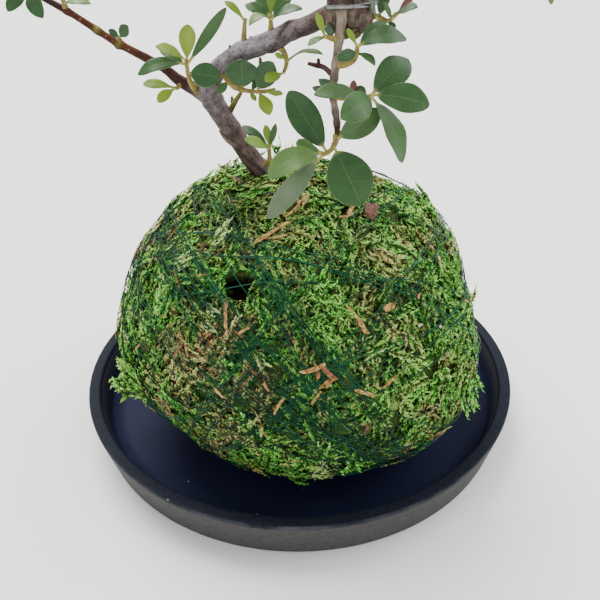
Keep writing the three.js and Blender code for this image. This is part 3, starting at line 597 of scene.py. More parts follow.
wood_bodies = [grown_limb(*limb, limb_sides, limb_rings_per_mm, bark_ridge, swellings.get(name, ()),
                          name == "upper_branch") for name, limb in limbs.items()]
wood_bodies += [grown_limb([(x, y, z - 1.2), (x, y, z - 0.2), (x - 0.1, y, z + 0.4)], (0.5, 0.5, 0.3),
                           ((0, 0.62), (1, 0.2)), sides=8, per_mm=3, rough=0.1) for x, y, z in bud_scars]
wood_bodies.append(swollen_knob())
for i in range(root_count):
    heading = 2 * math.pi * (i + 0.3 * hash_value(i + 1)) / root_count
    drop = root_drop * (0.8 + 0.4 * hash_value(i + 9))
    out = np.array([math.cos(heading), math.sin(heading), 0]) * root_reach
    route = [root_start] + [root_start + reach * out - (0, 0, fall * drop)
                            for reach, fall in ((0.3, 0.2), (0.7, 0.5), (1, 1))]
    wood_bodies.append(grown_limb(route, (1.9, 1.4, 1, 0.7), ((0, 0.4), (1, 0.6)), sides=10, per_mm=0.8,
                                  rough=0.08))
wood_points, wood_faces, wood_places, wood_tones = gather(wood_bodies)
add_piece("grown_wood", wood_points, wood_faces, thin_bark(), "wood", ["trunk"],
          {"straight": wood_places, "tone": wood_tones})

# The training wire: soft bare aluminium, wound two and a half times round the trunk above the knob and held
# by its own stiffness.
wire_radius = 0.55
wire_turns = 2.6
wire_pitch = 1.9
wire_middle = (13, -27.2)
wire_start = 132.75
wire_heading = -150
wire_reach = 6.0


def wound_wire(steps, sides):
    """A helix: at angle a it lies at the reach times (cos a, sin a) from the trunk's line and climbs one
    pitch a turn. Its round section stands on the outward and upward directions."""
    angle = (2 * np.pi * wire_turns * np.linspace(0, 1, steps) + math.radians(wire_heading))[:, None, None]
    turn = circle(sides)[None, :, None]
    out = np.concatenate([np.cos(angle), np.sin(angle), 0 * angle], -1)
    climb = np.linspace(0, wire_pitch * wire_turns, steps)[:, None]
    centres = np.array([*wire_middle, wire_start]) + wire_reach * out[:, 0] + climb * (0, 0, 1)
    rings = centres[:, None] + wire_radius * (np.cos(turn) * out + np.sin(turn) * np.array([0, 0, 1.0]))
    return skin(rings[None, :, ::-1], centres[0], centres[-1])


def bare_aluminium():
    """Soft aluminium, drawn to a satin finish and dulled by weather."""
    material, tree, shader = new_material("bare_aluminium", Metallic=1.0, Roughness=0.42)
    colour, height = clouds(tree, object_place(tree), 700.0, 2.0, (0.13, 0.13, 0.13), (0.32, 0.32, 0.31))
    return cover(material, shader, colour, height, 0.3, 0.0001)


add_piece("wound_wire", *wound_wire(steps=140, sides=14), bare_aluminium(), "wire", ["training_wire"])

# The moss: a mat of feathery creeping moss peeled from the ground and laid round the soil, green where it
# lives and straw brown where it has dried. Below lies the dense mat, kept dark as painted shade between the
# sprigs, and over it the single sprigs.
mat_depth = 3.0
tear_way = direction(247, 41)
tear_east = unit(np.cross((0, 0, 1.0), tear_way))
tear_north = np.cross(tear_way, tear_east)
tear_long = math.sin(math.radians(4.2)) * (0.94 * tear_east - 0.34 * tear_north)
tear_short = math.sin(math.radians(2.9)) * (0.34 * tear_east + 0.94 * tear_north)
tear_depth = 7.4
mat_sole = 3.3


def tear_share(ways):
    """How far unit vectors lie from the tear's middle, as a share of the way to its rim, which is an
    ellipse: the root of the sum of the squares of each way's parts along the two half axes."""
    far = 9.0
    across, down = (ways @ axis / (axis @ axis) for axis in (tear_long, tear_short))
    return np.where(ways @ tear_way > 0, np.hypot(across, down), far)


def mat_depths(ways):
    """The mat lies a little under the ball's surface, and sinks to the soil in the torn place by a smooth
    step down inside the tear's rim."""
    inside = np.clip((1.25 - tear_share(ways)) / 0.3, 0, 1)
    return mat_depth + tear_depth * inside ** 2 * (3 - 2 * inside)


def living_moss():
    """Moss: each sprig has its own tone between dry brown and pale yellow-green, its foot is darkened to
    nearly black as painted shade deep in the moss, and its tips are the palest. The tiny leaves that
    sheathe it show as fine cells, with a painted glint in the middle and painted shade round the edge. Some
    clumps are lighter than others, and the moss is darkened towards the bottom of the ball as painted
    shade."""
    material, tree, shader = new_material("living_moss", Roughness=0.7, Specular_IOR_Level=0.06)
    place = object_place(tree)
    _, cloud = clouds(tree, place, 420.0, 1.6)
    _, clump = clouds(tree, place, 150.0, 2.6)
    toned = calc(tree, "ADD", attribute(tree, "tone"), calc(tree, "MULTIPLY_ADD", cloud, 0.2, -0.1))
    colour = ramp(tree, toned, {0: (0.1, 0.035, 0.012), 0.12: (0.44, 0.18, 0.05), 0.25: (0.82, 0.53, 0.25),
                                0.38: (0.6, 0.56, 0.18), 0.5: (0.34, 0.42, 0.11), 0.62: (0.19, 0.47, 0.08),
                                0.75: (0.18, 0.7, 0.08), 0.87: (0.46, 0.93, 0.15), 1: (0.85, 0.95, 0.45)})
    cells = node(tree, "ShaderNodeTexVoronoi", {"Vector": place, "Scale": 2600.0}).outputs
    # Painted light and shade on the tiny leaves: each cell is paler in the middle and darker round its
    # edge, and each cell's own brightness is a painted glint.
    edge = remap(tree, cells["Distance"], 0.15, 0.55, 1.5, 0.25)
    own = node(tree, "ShaderNodeSeparateColor", {0: cells["Color"]}).outputs[0]
    glint = remap(tree, own, to_low=0.6, to_high=1.5)
    # Painted shade: the moss is darkened towards the bottom of the ball, near the dish, for the shade low
    # down.
    painted_low_shade = remap(tree, height_part(tree, place), 0.006, 0.04, 0.12, 1)
    clumped = remap(tree, clump, to_low=0.5, to_high=1.4)
    # Painted shade: the colour is scaled from nearly black at each sprig's foot up to its tips, for the
    # shade deep in the moss.
    shade = remap(tree, calc(tree, "POWER", attribute(tree, "tip"), 1.9), to_low=0.003, to_high=7.0)
    for factor in (edge, glint, painted_low_shade, clumped):
        shade = calc(tree, "MULTIPLY", shade, factor)
    limits = {0: dimmed(tree, colour, shade), 1: (0.7, 0.95, 0.33)}
    colour = node(tree, "ShaderNodeVectorMath", limits, operation="MINIMUM").outputs[0]
    return cover(material, shader, colour, edge, 0.8, 0.0002)


moss_green = living_moss()
mat_points, mat_faces = ball_skin(around=150, rings=96, depth=mat_depths, sole=mat_sole, rough=0.6)
in_tear = tear_share(unit(mat_points - ball_centre)) < 1.3
# Painted shade: the mat's low tip values keep it dark like the shade between the sprigs, and a tip of 0 in
# the tear makes it nearly black, for the shade in the pit.
add_piece("moss_mat", mat_points, mat_faces, moss_green, "moss", ["moss_layer"],
          {"tone": 0.56 + 0.1 * wander(mat_points, 6.0, 21),
           "tip": np.where(in_tear, 0, 0.27 + 0.1 * wander(mat_points, 3.0, 22))})


def strands(start, bend, tip, radius, steps, sides):
    """Blunt strands, one for each row: each follows the parabola from its start over its bend to its tip,
    and its radius falls as a quarter circle. Also how far along each point lies, 0 to 1."""
    t = (np.arange(steps) / steps)[None, :, None]
    start, bend, tip = start[:, None], bend[:, None], tip[:, None]
    centre = parabola(t, start, bend, tip)
    along = (1 - t) * (bend - start) + t * (tip - bend)
    side = unit(np.cross(along, (0.05, 0.08, 1.0)))
    up = unit(np.cross(side, along))
    turn = circle(sides)[:, None]
    across = np.cos(turn) * side[:, :, None] + np.sin(turn) * up[:, :, None]
    rings = centre[:, :, None] + (radius * np.sqrt(1 - t ** 2))[:, :, None] * across
    count = len(start)
    points = np.concatenate([rings.reshape(count, -1, 3), tip], 1)
    i, j = np.meshgrid(np.arange(steps - 1) * sides, np.arange(sides), indexing="ij")
    a, b, c, d = i + j, i + (j + 1) % sides, i + sides + (j + 1) % sides, i + sides + j
    last = sides * steps
    rim = last - sides
    j = np.arange(sides)
    foot = np.arange(1, sides - 1)
    faces = np.vstack([np.stack([a, c, b], -1).reshape(-1, 3), np.stack([a, d, c], -1).reshape(-1, 3),
                       np.stack([rim + (j + 1) % sides, rim + j, np.full(sides, last)], -1),
                       np.stack([0 * foot, foot, foot + 1], -1)])
    starts = np.arange(count)[:, None, None] * (last + 1)
    reach = np.tile(np.append(np.repeat(t.ravel(), sides), 1.0), count)
    return points.reshape(-1, 3), (faces + starts).reshape(-1, 3), reach


def sprig(seed, branchlets=12, leaves=2):
    """A feathery sprig one unit long, lying along +X with +Z up: a curved stem, thin branchlets that leave
    it left and right by turns and curl forward and down, and small pointed leaves that stand off them.
    Also how near each point is to a tip, 0 at the stem's foot and 1 at the tips of the leaves."""
    draw = np.random.default_rng(seed)
    stem = np.array([(0, 0, 0), (0.5, draw.uniform(-0.3, 0.3), 0.04), (1, draw.uniform(-0.15, 0.15), 0)])
    t = (0.06 + 0.84 * (np.arange(branchlets) + draw.uniform(0, 0.6, branchlets)) / branchlets)[:, None]
    root = parabola(t, *stem)
    hand = np.where(np.arange(branchlets) % 2, 1.0, -1.0)[:, None]
    angle = np.radians(draw.uniform(35, 100, branchlets))[:, None]
    length = 0.42 * (1 - 0.35 * t) * draw.uniform(0.6, 1.4, (branchlets, 1))
    rise = draw.uniform(-0.1, 0.5, (branchlets, 1))
    out = np.concatenate([np.cos(angle), hand * np.sin(angle), rise], 1)
    sweep = hand * draw.uniform(-1.3, 0.1, angle.shape)
    curl = np.concatenate([1 + 0 * angle, sweep, -0.9 * rise - 0.2], 1)
    bend = root + 0.65 * length * out
    tip = bend + 0.55 * length * curl
    u = np.tile((np.arange(leaves) + 0.8) / leaves, branchlets)[:, None]
    first, middle, last = (np.repeat(p, leaves, 0) for p in (root, bend, tip))
    seat = parabola(u, first, middle, last)
    ahead = unit((1 - u) * (middle - first) + u * (last - middle))
    beside = unit(np.cross(ahead, (0, 0, 1.0)))
    spin = draw.uniform(-0.6, 0.6, (len(u), 1)) + np.tile(np.arange(leaves) * 2.2, branchlets)[:, None]
    outward = np.cos(spin) * beside + np.sin(spin) * np.cross(beside, ahead)
    leaf_tip = seat + 0.075 * (ahead + outward) * draw.uniform(0.8, 1.3, (len(u), 1))
    parts = [((stem[:1], stem[1:2], stem[2:]), 0.03, 4, 0.0, 0.6), ((root, bend, tip), 0.042, 3, 0.1, 0.8),
             ((seat, (seat + leaf_tip) / 2, leaf_tip), 0.03, 1, 0.5, 0.5)]
    bodies = []
    for line, radius, steps, foot_tone, tone_rise in parts:
        points, faces, reach = strands(*line, radius, steps, sides=3)
        bodies.append((points, faces, foot_tone + tone_rise * reach))
    return gather(bodies)


def lay_on_ball(shapes, rows):
    """Shapes (rows, points, 3) in millimetres, lying along +X with +Z up, laid on the ball. Each row is
    heading, rise, turn, lift and depth: the shape starts at that heading and rise, turned so far from
    east towards the top. Each of its points goes where the way to the start plus x along and y across
    meets the ball's surface, z above it, less the depth, plus the lift times the square of x over the
    shape's length."""
    heading, rise, turn, lift, depth = (rows[:, i, None] for i in range(5))
    start = direction(heading, rise)
    east = np.stack([-np.sin(np.radians(heading)), np.cos(np.radians(heading)), 0 * heading], -1)
    north = np.cross(start, east)
    spin = np.radians(turn)[..., None]
    along = np.cos(spin) * east + np.sin(spin) * north
    across = np.cross(start, along)
    x, y, z = np.moveaxis(shapes, -1, 0)
    ways = unit(start * ball_reach(start)[..., None] + x[..., None] * along + y[..., None] * across)
    height = z - depth + lift * (x / x.max(1, keepdims=True)) ** 2
    laid = ball_centre + ways * (ball_reach(ways) + height)[..., None]
    laid[..., 2] = np.maximum(laid[..., 2], mat_sole - 0.1)
    return laid


def lay_sprigs(name, rows, lengths, tones, variants):
    """A piece of sprigs, each one of the variants scaled to its length and laid on the ball. None crosses
    the middle of the tear, and what lies inside its rim is pressed back to it."""
    bodies = []
    for k, (points, faces, tip) in enumerate(variants):
        length = lengths[k::len(variants)]
        laid = lay_on_ball(points * length[:, None, None], rows[k::len(variants)])
        ways = unit(laid - ball_centre)
        share = tear_share(ways)[..., None]
        ahead = (ways @ tear_way)[..., None] * tear_way
        pressed = unit(ahead + (ways - ahead) / np.maximum(share, 0.1))
        far = np.linalg.norm(laid - ball_centre, axis=-1, keepdims=True)
        laid = np.where(share < 1, ball_centre + far * pressed, laid)
        clear = (share > 0.5).all((1, 2))
        laid = laid[clear]
        starts = np.arange(len(laid))[:, None, None] * len(points)
        bodies.append((laid.reshape(-1, 3), (faces + starts).reshape(-1, 3), np.tile(tip, len(laid)),
                       np.repeat(tones[k::len(variants)][clear], len(points))))
    laid, faces, tips, tones = gather(bodies)
    add_piece(name, laid, faces, moss_green, "moss", (), {"tip": tips, "tone": tones})


def sprig_tones(ways, draw):
    """The tone of each sprig: a random mix of greens with some dry ones, pulled towards the tone of each
    patch (heading, rise, spread, strength, tone) by its strength times its bell curve."""
    dry_share, patch_share = 0.12, 0.85
    tone = draw.normal(0.63, 0.13, len(ways)) + 0.1 * wander(ways * ball_radius, 13.0, 25)
    dry = draw.random(len(ways)) < dry_share
    tone = np.where(dry, draw.uniform(0.15, 0.42, len(ways)), np.clip(tone, 0.36, 0.97))
    for heading, rise, spread, strength, target in moss_patches:
        pull = strength * bell(ways, heading, rise, spread) * (draw.random(len(ways)) < patch_share)
        tone += pull * (target - tone)
    return tone


moss_patches = (
    (236, 18, 11, 0.9, 0.2), (243, 8, 8, 0.8, 0.22), (232, 28, 5, 0.8, 0.14), (238, 21, 4, 0.8, 0.13),
    (251, 30, 6, 0.5, 0.3), (222, 43, 7, 0.7, 0.8), (236, 36, 6, 0.6, 0.8), (215, 30, 12, 0.4, 0.74),
    (281, 41, 7, 0.8, 0.76), (241, 34, 3.5, 0.85, 1.0), (218, 41, 3, 0.8, 0.93),
    (305, 40, 3.5, 0.7, 0.24), (349, 61, 10, 0.6, 0.84), (277, -2, 14, 0.5, 0.84),
    (311, 18, 12, 0.5, 0.82), (200, 5, 14, 0.7, 0.82), (293, 29, 6, 0.6, 0.88), (271, 70, 9, 0.5, 0.74),
    (290, 42, 9, 0.6, 0.44), (313, 47, 7, 0.5, 0.42), (166, 74, 7, 0.6, 0.3), (254, 60, 8, 0.5, 0.38),
    (60, 30, 14, 0.6, 0.3), (130, 20, 16, 0.6, 0.8), (20, 5, 14, 0.5, 0.84), (90, 60, 12, 0.5, 0.85),
    (160, -5, 12, 0.5, 0.3), (330, 25, 20, 0.4, 0.82),
)
sprig_count = 2290
golden_turn = 137.508
lowest_sprig = 0.62
draw = np.random.default_rng(7)
step = np.arange(sprig_count) + 0.5
sprig_rise = np.degrees(np.arcsin(1 - (1 + lowest_sprig) * step / sprig_count))
sprig_rise = sprig_rise + draw.normal(0, 1.2, sprig_count)
sprig_heading = (golden_turn * step + draw.normal(0, 1.2, sprig_count)) % 360
sprig_ways = direction(sprig_heading, sprig_rise)
sprig_turn = draw.uniform(0, 360, sprig_count)
sprig_lift = draw.gamma(1.5, 0.5, sprig_count)
sprig_depth = draw.uniform(1.1, 2.6, sprig_count) + 0.6 * wander(sprig_ways * ball_radius, 7.0, 24)
kept = np.abs(sprig_rise) < 89
sprig_rows = np.stack([sprig_heading, sprig_rise, sprig_turn, sprig_lift, sprig_depth], 1)[kept]
sprig_length = draw.uniform(7.5, 12.5, sprig_count)[kept]
sprig_tone = sprig_tones(sprig_ways[kept], draw)

# Loose sprigs stand off the ball or droop over the dish. Each row is heading, rise, turn, lift, length and
# tone.
loose_sprigs = np.array([
    (214, -1, -156, 6.5, 11.5, 0.8), (213, -2, -160, 6, 11, 0.76), (215, -1, -152, 7, 12, 0.82),
    (214, -3, -158, 6, 11, 0.74), (212.5, -1, -150, 5.5, 10, 0.84), (213.5, 0, -158, 6, 11, 0.79),
    (213, 1, 150, 2.5, 8, 0.8), (214, 0, 143, 2.5, 9, 0.76), (212.5, 1, 158, 2.5, 8, 0.84),
    (228, 49, 75, 1.5, 9, 0.93), (216, 41, 40, 1, 7, 0.93), (220, 40, 45, 1, 6, 0.92),
    (237, 43, 52, 1, 6, 0.78), (237, 36, -20, 1, 6, 1), (239, 31, -14, 1, 5, 1),
    (255, 27, -44, 1, 7, 0.92), (294, 24, -25, 1, 7, 0.9), (299, 22, -51, 1, 7, 0.86),
    (211, 13, 94, 2, 8, 0.7), (273, 43, -30, 1, 8, 0.78), (276, 41, -43, 1, 9, 0.77),
    (199, 12, 88, 2, 7.5, 0.45), (193, 6, -120, 2, 9, 0.7), (322, 8, -90, 4, 10, 0.74),
    (326, 6, -75, 4.5, 10, 0.76), (319, 5, -100, 4, 9, 0.72), (324, 2, -80, 5, 10, 0.78),
    (327, 0, -95, 4, 9, 0.74), (352, 8, 20, 4, 9, 0.3), (256, -26, -110, 4, 9, 0.88),
    (262, -25, -60, 3, 9, 0.8), (246, -19, -90, 3.5, 10, 0.8), (249, -21, -60, 3.5, 9, 0.86),
    (212.5, 83, 148, 9.5, 6, 0.7), (215, 83.5, 120, 8, 6, 0.62), (154, 66, 140, 3, 9, 0.66),
    (162, 65, 170, 3, 8, 0.6), (148, 68, 110, 4, 8, 0.56), (172, 70, 130, 3, 9, 0.62),
    (182, 66, 170, 3.5, 9, 0.5), (200, 70, 200, 3, 9, 0.66), (158, 76, 100, 3, 8, 0.55),
    (214, 72, 230, 3, 9, 0.8), (190, 62, 150, 3, 9, 0.44), (240, 76, 250, 4, 10, 0.7),
    (120, 78, 80, 5, 9, 0.6), (60, 20, -60, 5, 12, 0.8), (85, -8, -90, 6, 13, 0.82),
    (120, 4, -100, 5, 12, 0.7), (150, -10, -80, 6, 12, 0.85), (30, -6, -90, 5, 13, 0.76),
    (10, 40, 30, 4, 10, 0.6), (140, 45, 140, 4, 10, 0.7),
])
loose_rows = np.column_stack([loose_sprigs[:, :4], np.full(len(loose_sprigs), 0.4)])
sprig_rows = np.vstack([sprig_rows, loose_rows])
sprig_length = np.append(sprig_length, loose_sprigs[:, 4])
sprig_tone = np.append(sprig_tone, loose_sprigs[:, 5])
variants = [sprig(seed) for seed in range(30, 36)]
for k, sheet in enumerate(("front", "right", "back", "left")):
    here = np.floor(((sprig_rows[:, 0] + 135) % 360) / 90) == k
    lay_sprigs("moss_sprigs_" + sheet, sprig_rows[here], sprig_length[here], sprig_tone[here], variants)

# The binding thread: one dark green sewing thread wound round and round the moss by hand, pulled tight. Its
# turns lie in bundles that cross each other, and part round the trunk.
thread_radius = 0.15
bundle_turns = np.array([(104, 52, 6), (97, 61, 5), (97, 27, 5), (111, 61, 6), (-110, 43, 6),
                         (155, 52.5, 3), (107, 51, 6), (97, 42, 5), (163, 54, 2), (-122, 60, 6),
                         (-127, 22.5, 4)])
single_turns = 18
turns_over_tear = [(105.3, 57), (108.2, 49.6), (-141.2, 67.3), (-177.7, 44.2)]
trunk_at_moss = np.array([-8.4, -9.5])
clear_of_trunk = 4.9
trunk_from_height = 70


def wound_thread(steps=90):
    """The turns of thread: each lies in a plane that holds a level line at a heading and is tilted about
    it, moved off the ball's middle by an offset. A plane that would cut the tear is moved past its rim,
    save the four that cross it. A turn lies a small wander over the surface, and goes round the trunk."""
    draw = np.random.default_rng(11)
    planes = np.repeat(bundle_turns[:, :2], bundle_turns[:, 2].astype(int), 0)
    planes = planes + draw.normal(0, 2.1, planes.shape)
    loose = np.column_stack([draw.uniform(0, 360, single_turns), draw.uniform(15, 75, single_turns)])
    offset = np.append(draw.normal(0, 1.6, len(planes)), draw.uniform(-20, 20, single_turns))
    offset = np.append(offset, np.zeros(len(turns_over_tear)))
    heading, tilt = np.radians(np.vstack([planes, loose, turns_over_tear])).T
    level = np.stack([np.cos(heading), np.sin(heading), 0 * heading], -1)[:, None]
    down = np.stack([np.sin(heading), -np.cos(heading), 0 * heading], -1)[:, None]
    tilt = tilt[:, None, None]
    normal = np.sin(tilt) * down + np.cos(tilt) * np.array([0, 0, 1.0])
    beside = offset / ball_above - normal[:, 0] @ tear_way
    clear = 1.1 * np.hypot(normal[:, 0] @ tear_long, normal[:, 0] @ tear_short)
    short = np.clip(clear * draw.uniform(1, 3.4, len(offset)) - np.abs(beside), 0, None)
    short *= np.abs(beside) < clear
    short[-len(turns_over_tear):] = 0
    offset = (offset + ball_above * np.copysign(short, beside))[:, None, None]
    angle = circle(steps)[None, :, None]
    ways = np.cos(angle) * level + np.sin(angle) * np.cross(normal, level) + normal * (offset / ball_above)
    ways = unit(ways + 0.012 * normal * wander(ways * 50 + offset * 7, 30.0, 3)[..., None])
    height = 0.2 + 0.4 * wander(ways * 50 + offset * 3, 14.0, 4)
    centres = ball_centre + ways * (ball_reach(ways) + height)[..., None]
    centres[..., 2] = np.maximum(centres[..., 2], mat_sole)
    from_trunk = centres[..., :2] - trunk_at_moss
    reach = np.linalg.norm(from_trunk, axis=-1, keepdims=True)
    clear = np.where(centres[..., 2:] > trunk_from_height, clear_of_trunk, 0)
    centres[..., :2] = trunk_at_moss + from_trunk * np.maximum(1, clear / reach)
    along = unit(np.roll(centres, -1, 1) - np.roll(centres, 1, 1))
    side = unit(np.cross(along, ways))[:, :, None]
    up = np.cross(along[:, :, None], side)
    turn = circle(3)[:, None]
    return skin(centres[:, :, None] + thread_radius * (np.cos(turn) * side + np.sin(turn) * up))


def sewing_thread():
    """Satin dark green polyester thread, paler on a few stretches as painted glints."""
    material, tree, shader = new_material("sewing_thread", Roughness=0.4, Specular_IOR_Level=0.16)
    # Painted highlight: the paler stretches stand in for glints of light on the thread.
    colour, _ = clouds(tree, object_place(tree), 55.0, 2.2, (0.001, 0.016, 0.008), (0.005, 0.095, 0.042))
    return cover(material, shader, colour)


add_piece("sewing_thread_turns", *wound_thread(), sewing_thread(), "thread", ["binding_thread"])

# Bits of bark, wood and straw: splinters from the ground that the moss grew on, caught in it by their rough
# sides and held down by the thread. Each row is heading, rise, turn, length, width and tone.
bits = [(246, 37, -73, 8.0, 1.1, 0.25), (249, 30.5, -19, 3.6, 0.8, 0.5), (270, 22, 18, 5.1, 1.2, 0.1),
        (275, 23, -45, 4.5, 1.3, 0.5), (272, 14, 50, 3.6, 0.9, 0.15), (274, 17.5, 42, 3.4, 0.8, 0.3),
        (247, 15, -33, 3.5, 0.8, 0.1), (259, 6, -34, 2.7, 0.8, 0.2), (260, 19, -56, 2.3, 1.0, 0.3),
        (276, 18, 46, 2.9, 1.2, 0.3), (274, 20, 100, 4.2, 1.3, 0.45), (319, 62, -144, 5.1, 4.2, 0.85),
        (248.5, 53.5, 51, 10.5, 1.2, 0.12), (287, 33, -69, 3.7, 1.4, 0.1), (284, 37, -60, 5.0, 0.9, 0.15),
        (283, 16, -25, 5.0, 1.3, 0.1), (291, 15, 30, 4.5, 0.8, 0.12), (174, 67, 39, 8.7, 1.6, 0.8),
        (299, 62, 35, 3.5, 1.2, 0.2), (296, 34, 10, 2.6, 2.0, 0.15), (262, 64, 60, 6.0, 0.8, 0.2),
        (272, 68, 70, 5.5, 0.9, 0.12), (305, 27, 20, 1.0, 0.9, 0.0), (292, 24, 70, 0.8, 0.7, 0.0),
        (304, 19, 110, 0.9, 0.8, 0.05), (313, 24, 0, 0.9, 0.8, 0.0), (186, 28, 85, 6.0, 2.0, 0.9)]
scatter_count = 80


def splinters(rows):
    """Bits of wood: a flat four-sided plank of four sections by its length and width, with random fullness,
    a slight bend and ragged ends, laid on the moss. Also the tone of each point."""
    draw = np.random.default_rng(5)
    count = len(rows)
    turn = np.radians([40, 140, 220, 320])
    x = np.array([0.0, 0.2, 0.75, 1.0])[None, :, None]
    narrow = 4 * np.abs(x - 0.5) ** 3
    fullness = draw.uniform(0.7, 1.15, (count, 4, 1)) * (1 - narrow * draw.uniform(0, 1.4, (count, 4, 1)))
    length, width, tone = (rows[:, i, None, None] for i in (3, 4, 5))
    ragged = draw.uniform(-0.16, 0.16, (count, 4, 4)) * (np.abs(x - 0.5) > 0.45)
    bend = draw.uniform(-0.12, 0.12, (count, 1, 1)) * length * (4 * x * (1 - x)) + 0 * turn
    thick = np.clip(0.25 * width, 0.16, 0.5)
    rings = np.stack([length * (x + ragged), 0.55 * width * fullness * np.cos(turn) + bend,
                      thick * fullness * np.sin(turn)], -1)
    shapes = np.concatenate([rings.reshape(count, -1, 3), rings[:, :1].mean(2), rings[:, -1:].mean(2)], 1)
    places = np.column_stack([rows[:, :3], draw.uniform(-0.4, 0.8, count), draw.uniform(-0.7, -0.1, count)])
    laid = lay_on_ball(shapes, places)
    points, faces = skin(laid[:, :16].reshape(count, 4, 4, 3), laid[:, 16], laid[:, 17])
    return points, faces, np.repeat(tone.ravel(), 18)


def dry_wood():
    """Dry splinters, from pale straw over tan wood to dark bark, with a fine grain."""
    material, tree, shader = new_material("dry_wood", Roughness=0.75, Specular_IOR_Level=0.3)
    colour = ramp(tree, attribute(tree, "tone"), {0: (0.75, 0.68, 0.48), 0.1: (0.6, 0.37, 0.12),
                                                  0.3: (0.42, 0.22, 0.07), 0.6: (0.22, 0.08, 0.035),
                                                  1: (0.13, 0.065, 0.05)})
    grain, height = clouds(tree, object_place(tree), 1100.0, 3.2, (0.22, 0.18, 0.15), (1.1, 1.1, 1.1))
    return cover(material, shader, mix(tree, 1.0, colour, grain, "MULTIPLY"), height, 0.5, 0.0002)


draw = np.random.default_rng(17)
scattered = np.column_stack([draw.uniform(0, 360, scatter_count),
                             np.degrees(np.arcsin(draw.uniform(-0.3, 0.98, scatter_count))),
                             draw.uniform(0, 360, scatter_count),
                             draw.gamma(3.0, 0.75, scatter_count) + 0.6,
                             draw.uniform(0.35, 0.95, scatter_count),
                             draw.choice([0.06, 0.12, 0.18, 0.25, 0.35, 0.5, 0.85], scatter_count)])
bit_points, bit_faces, bit_tones = splinters(np.vstack([np.array(bits), scattered]))
add_piece("bark_bits", bit_points, bit_faces, dry_wood(), "wood", (), {"tone": bit_tones}, smooth=False)

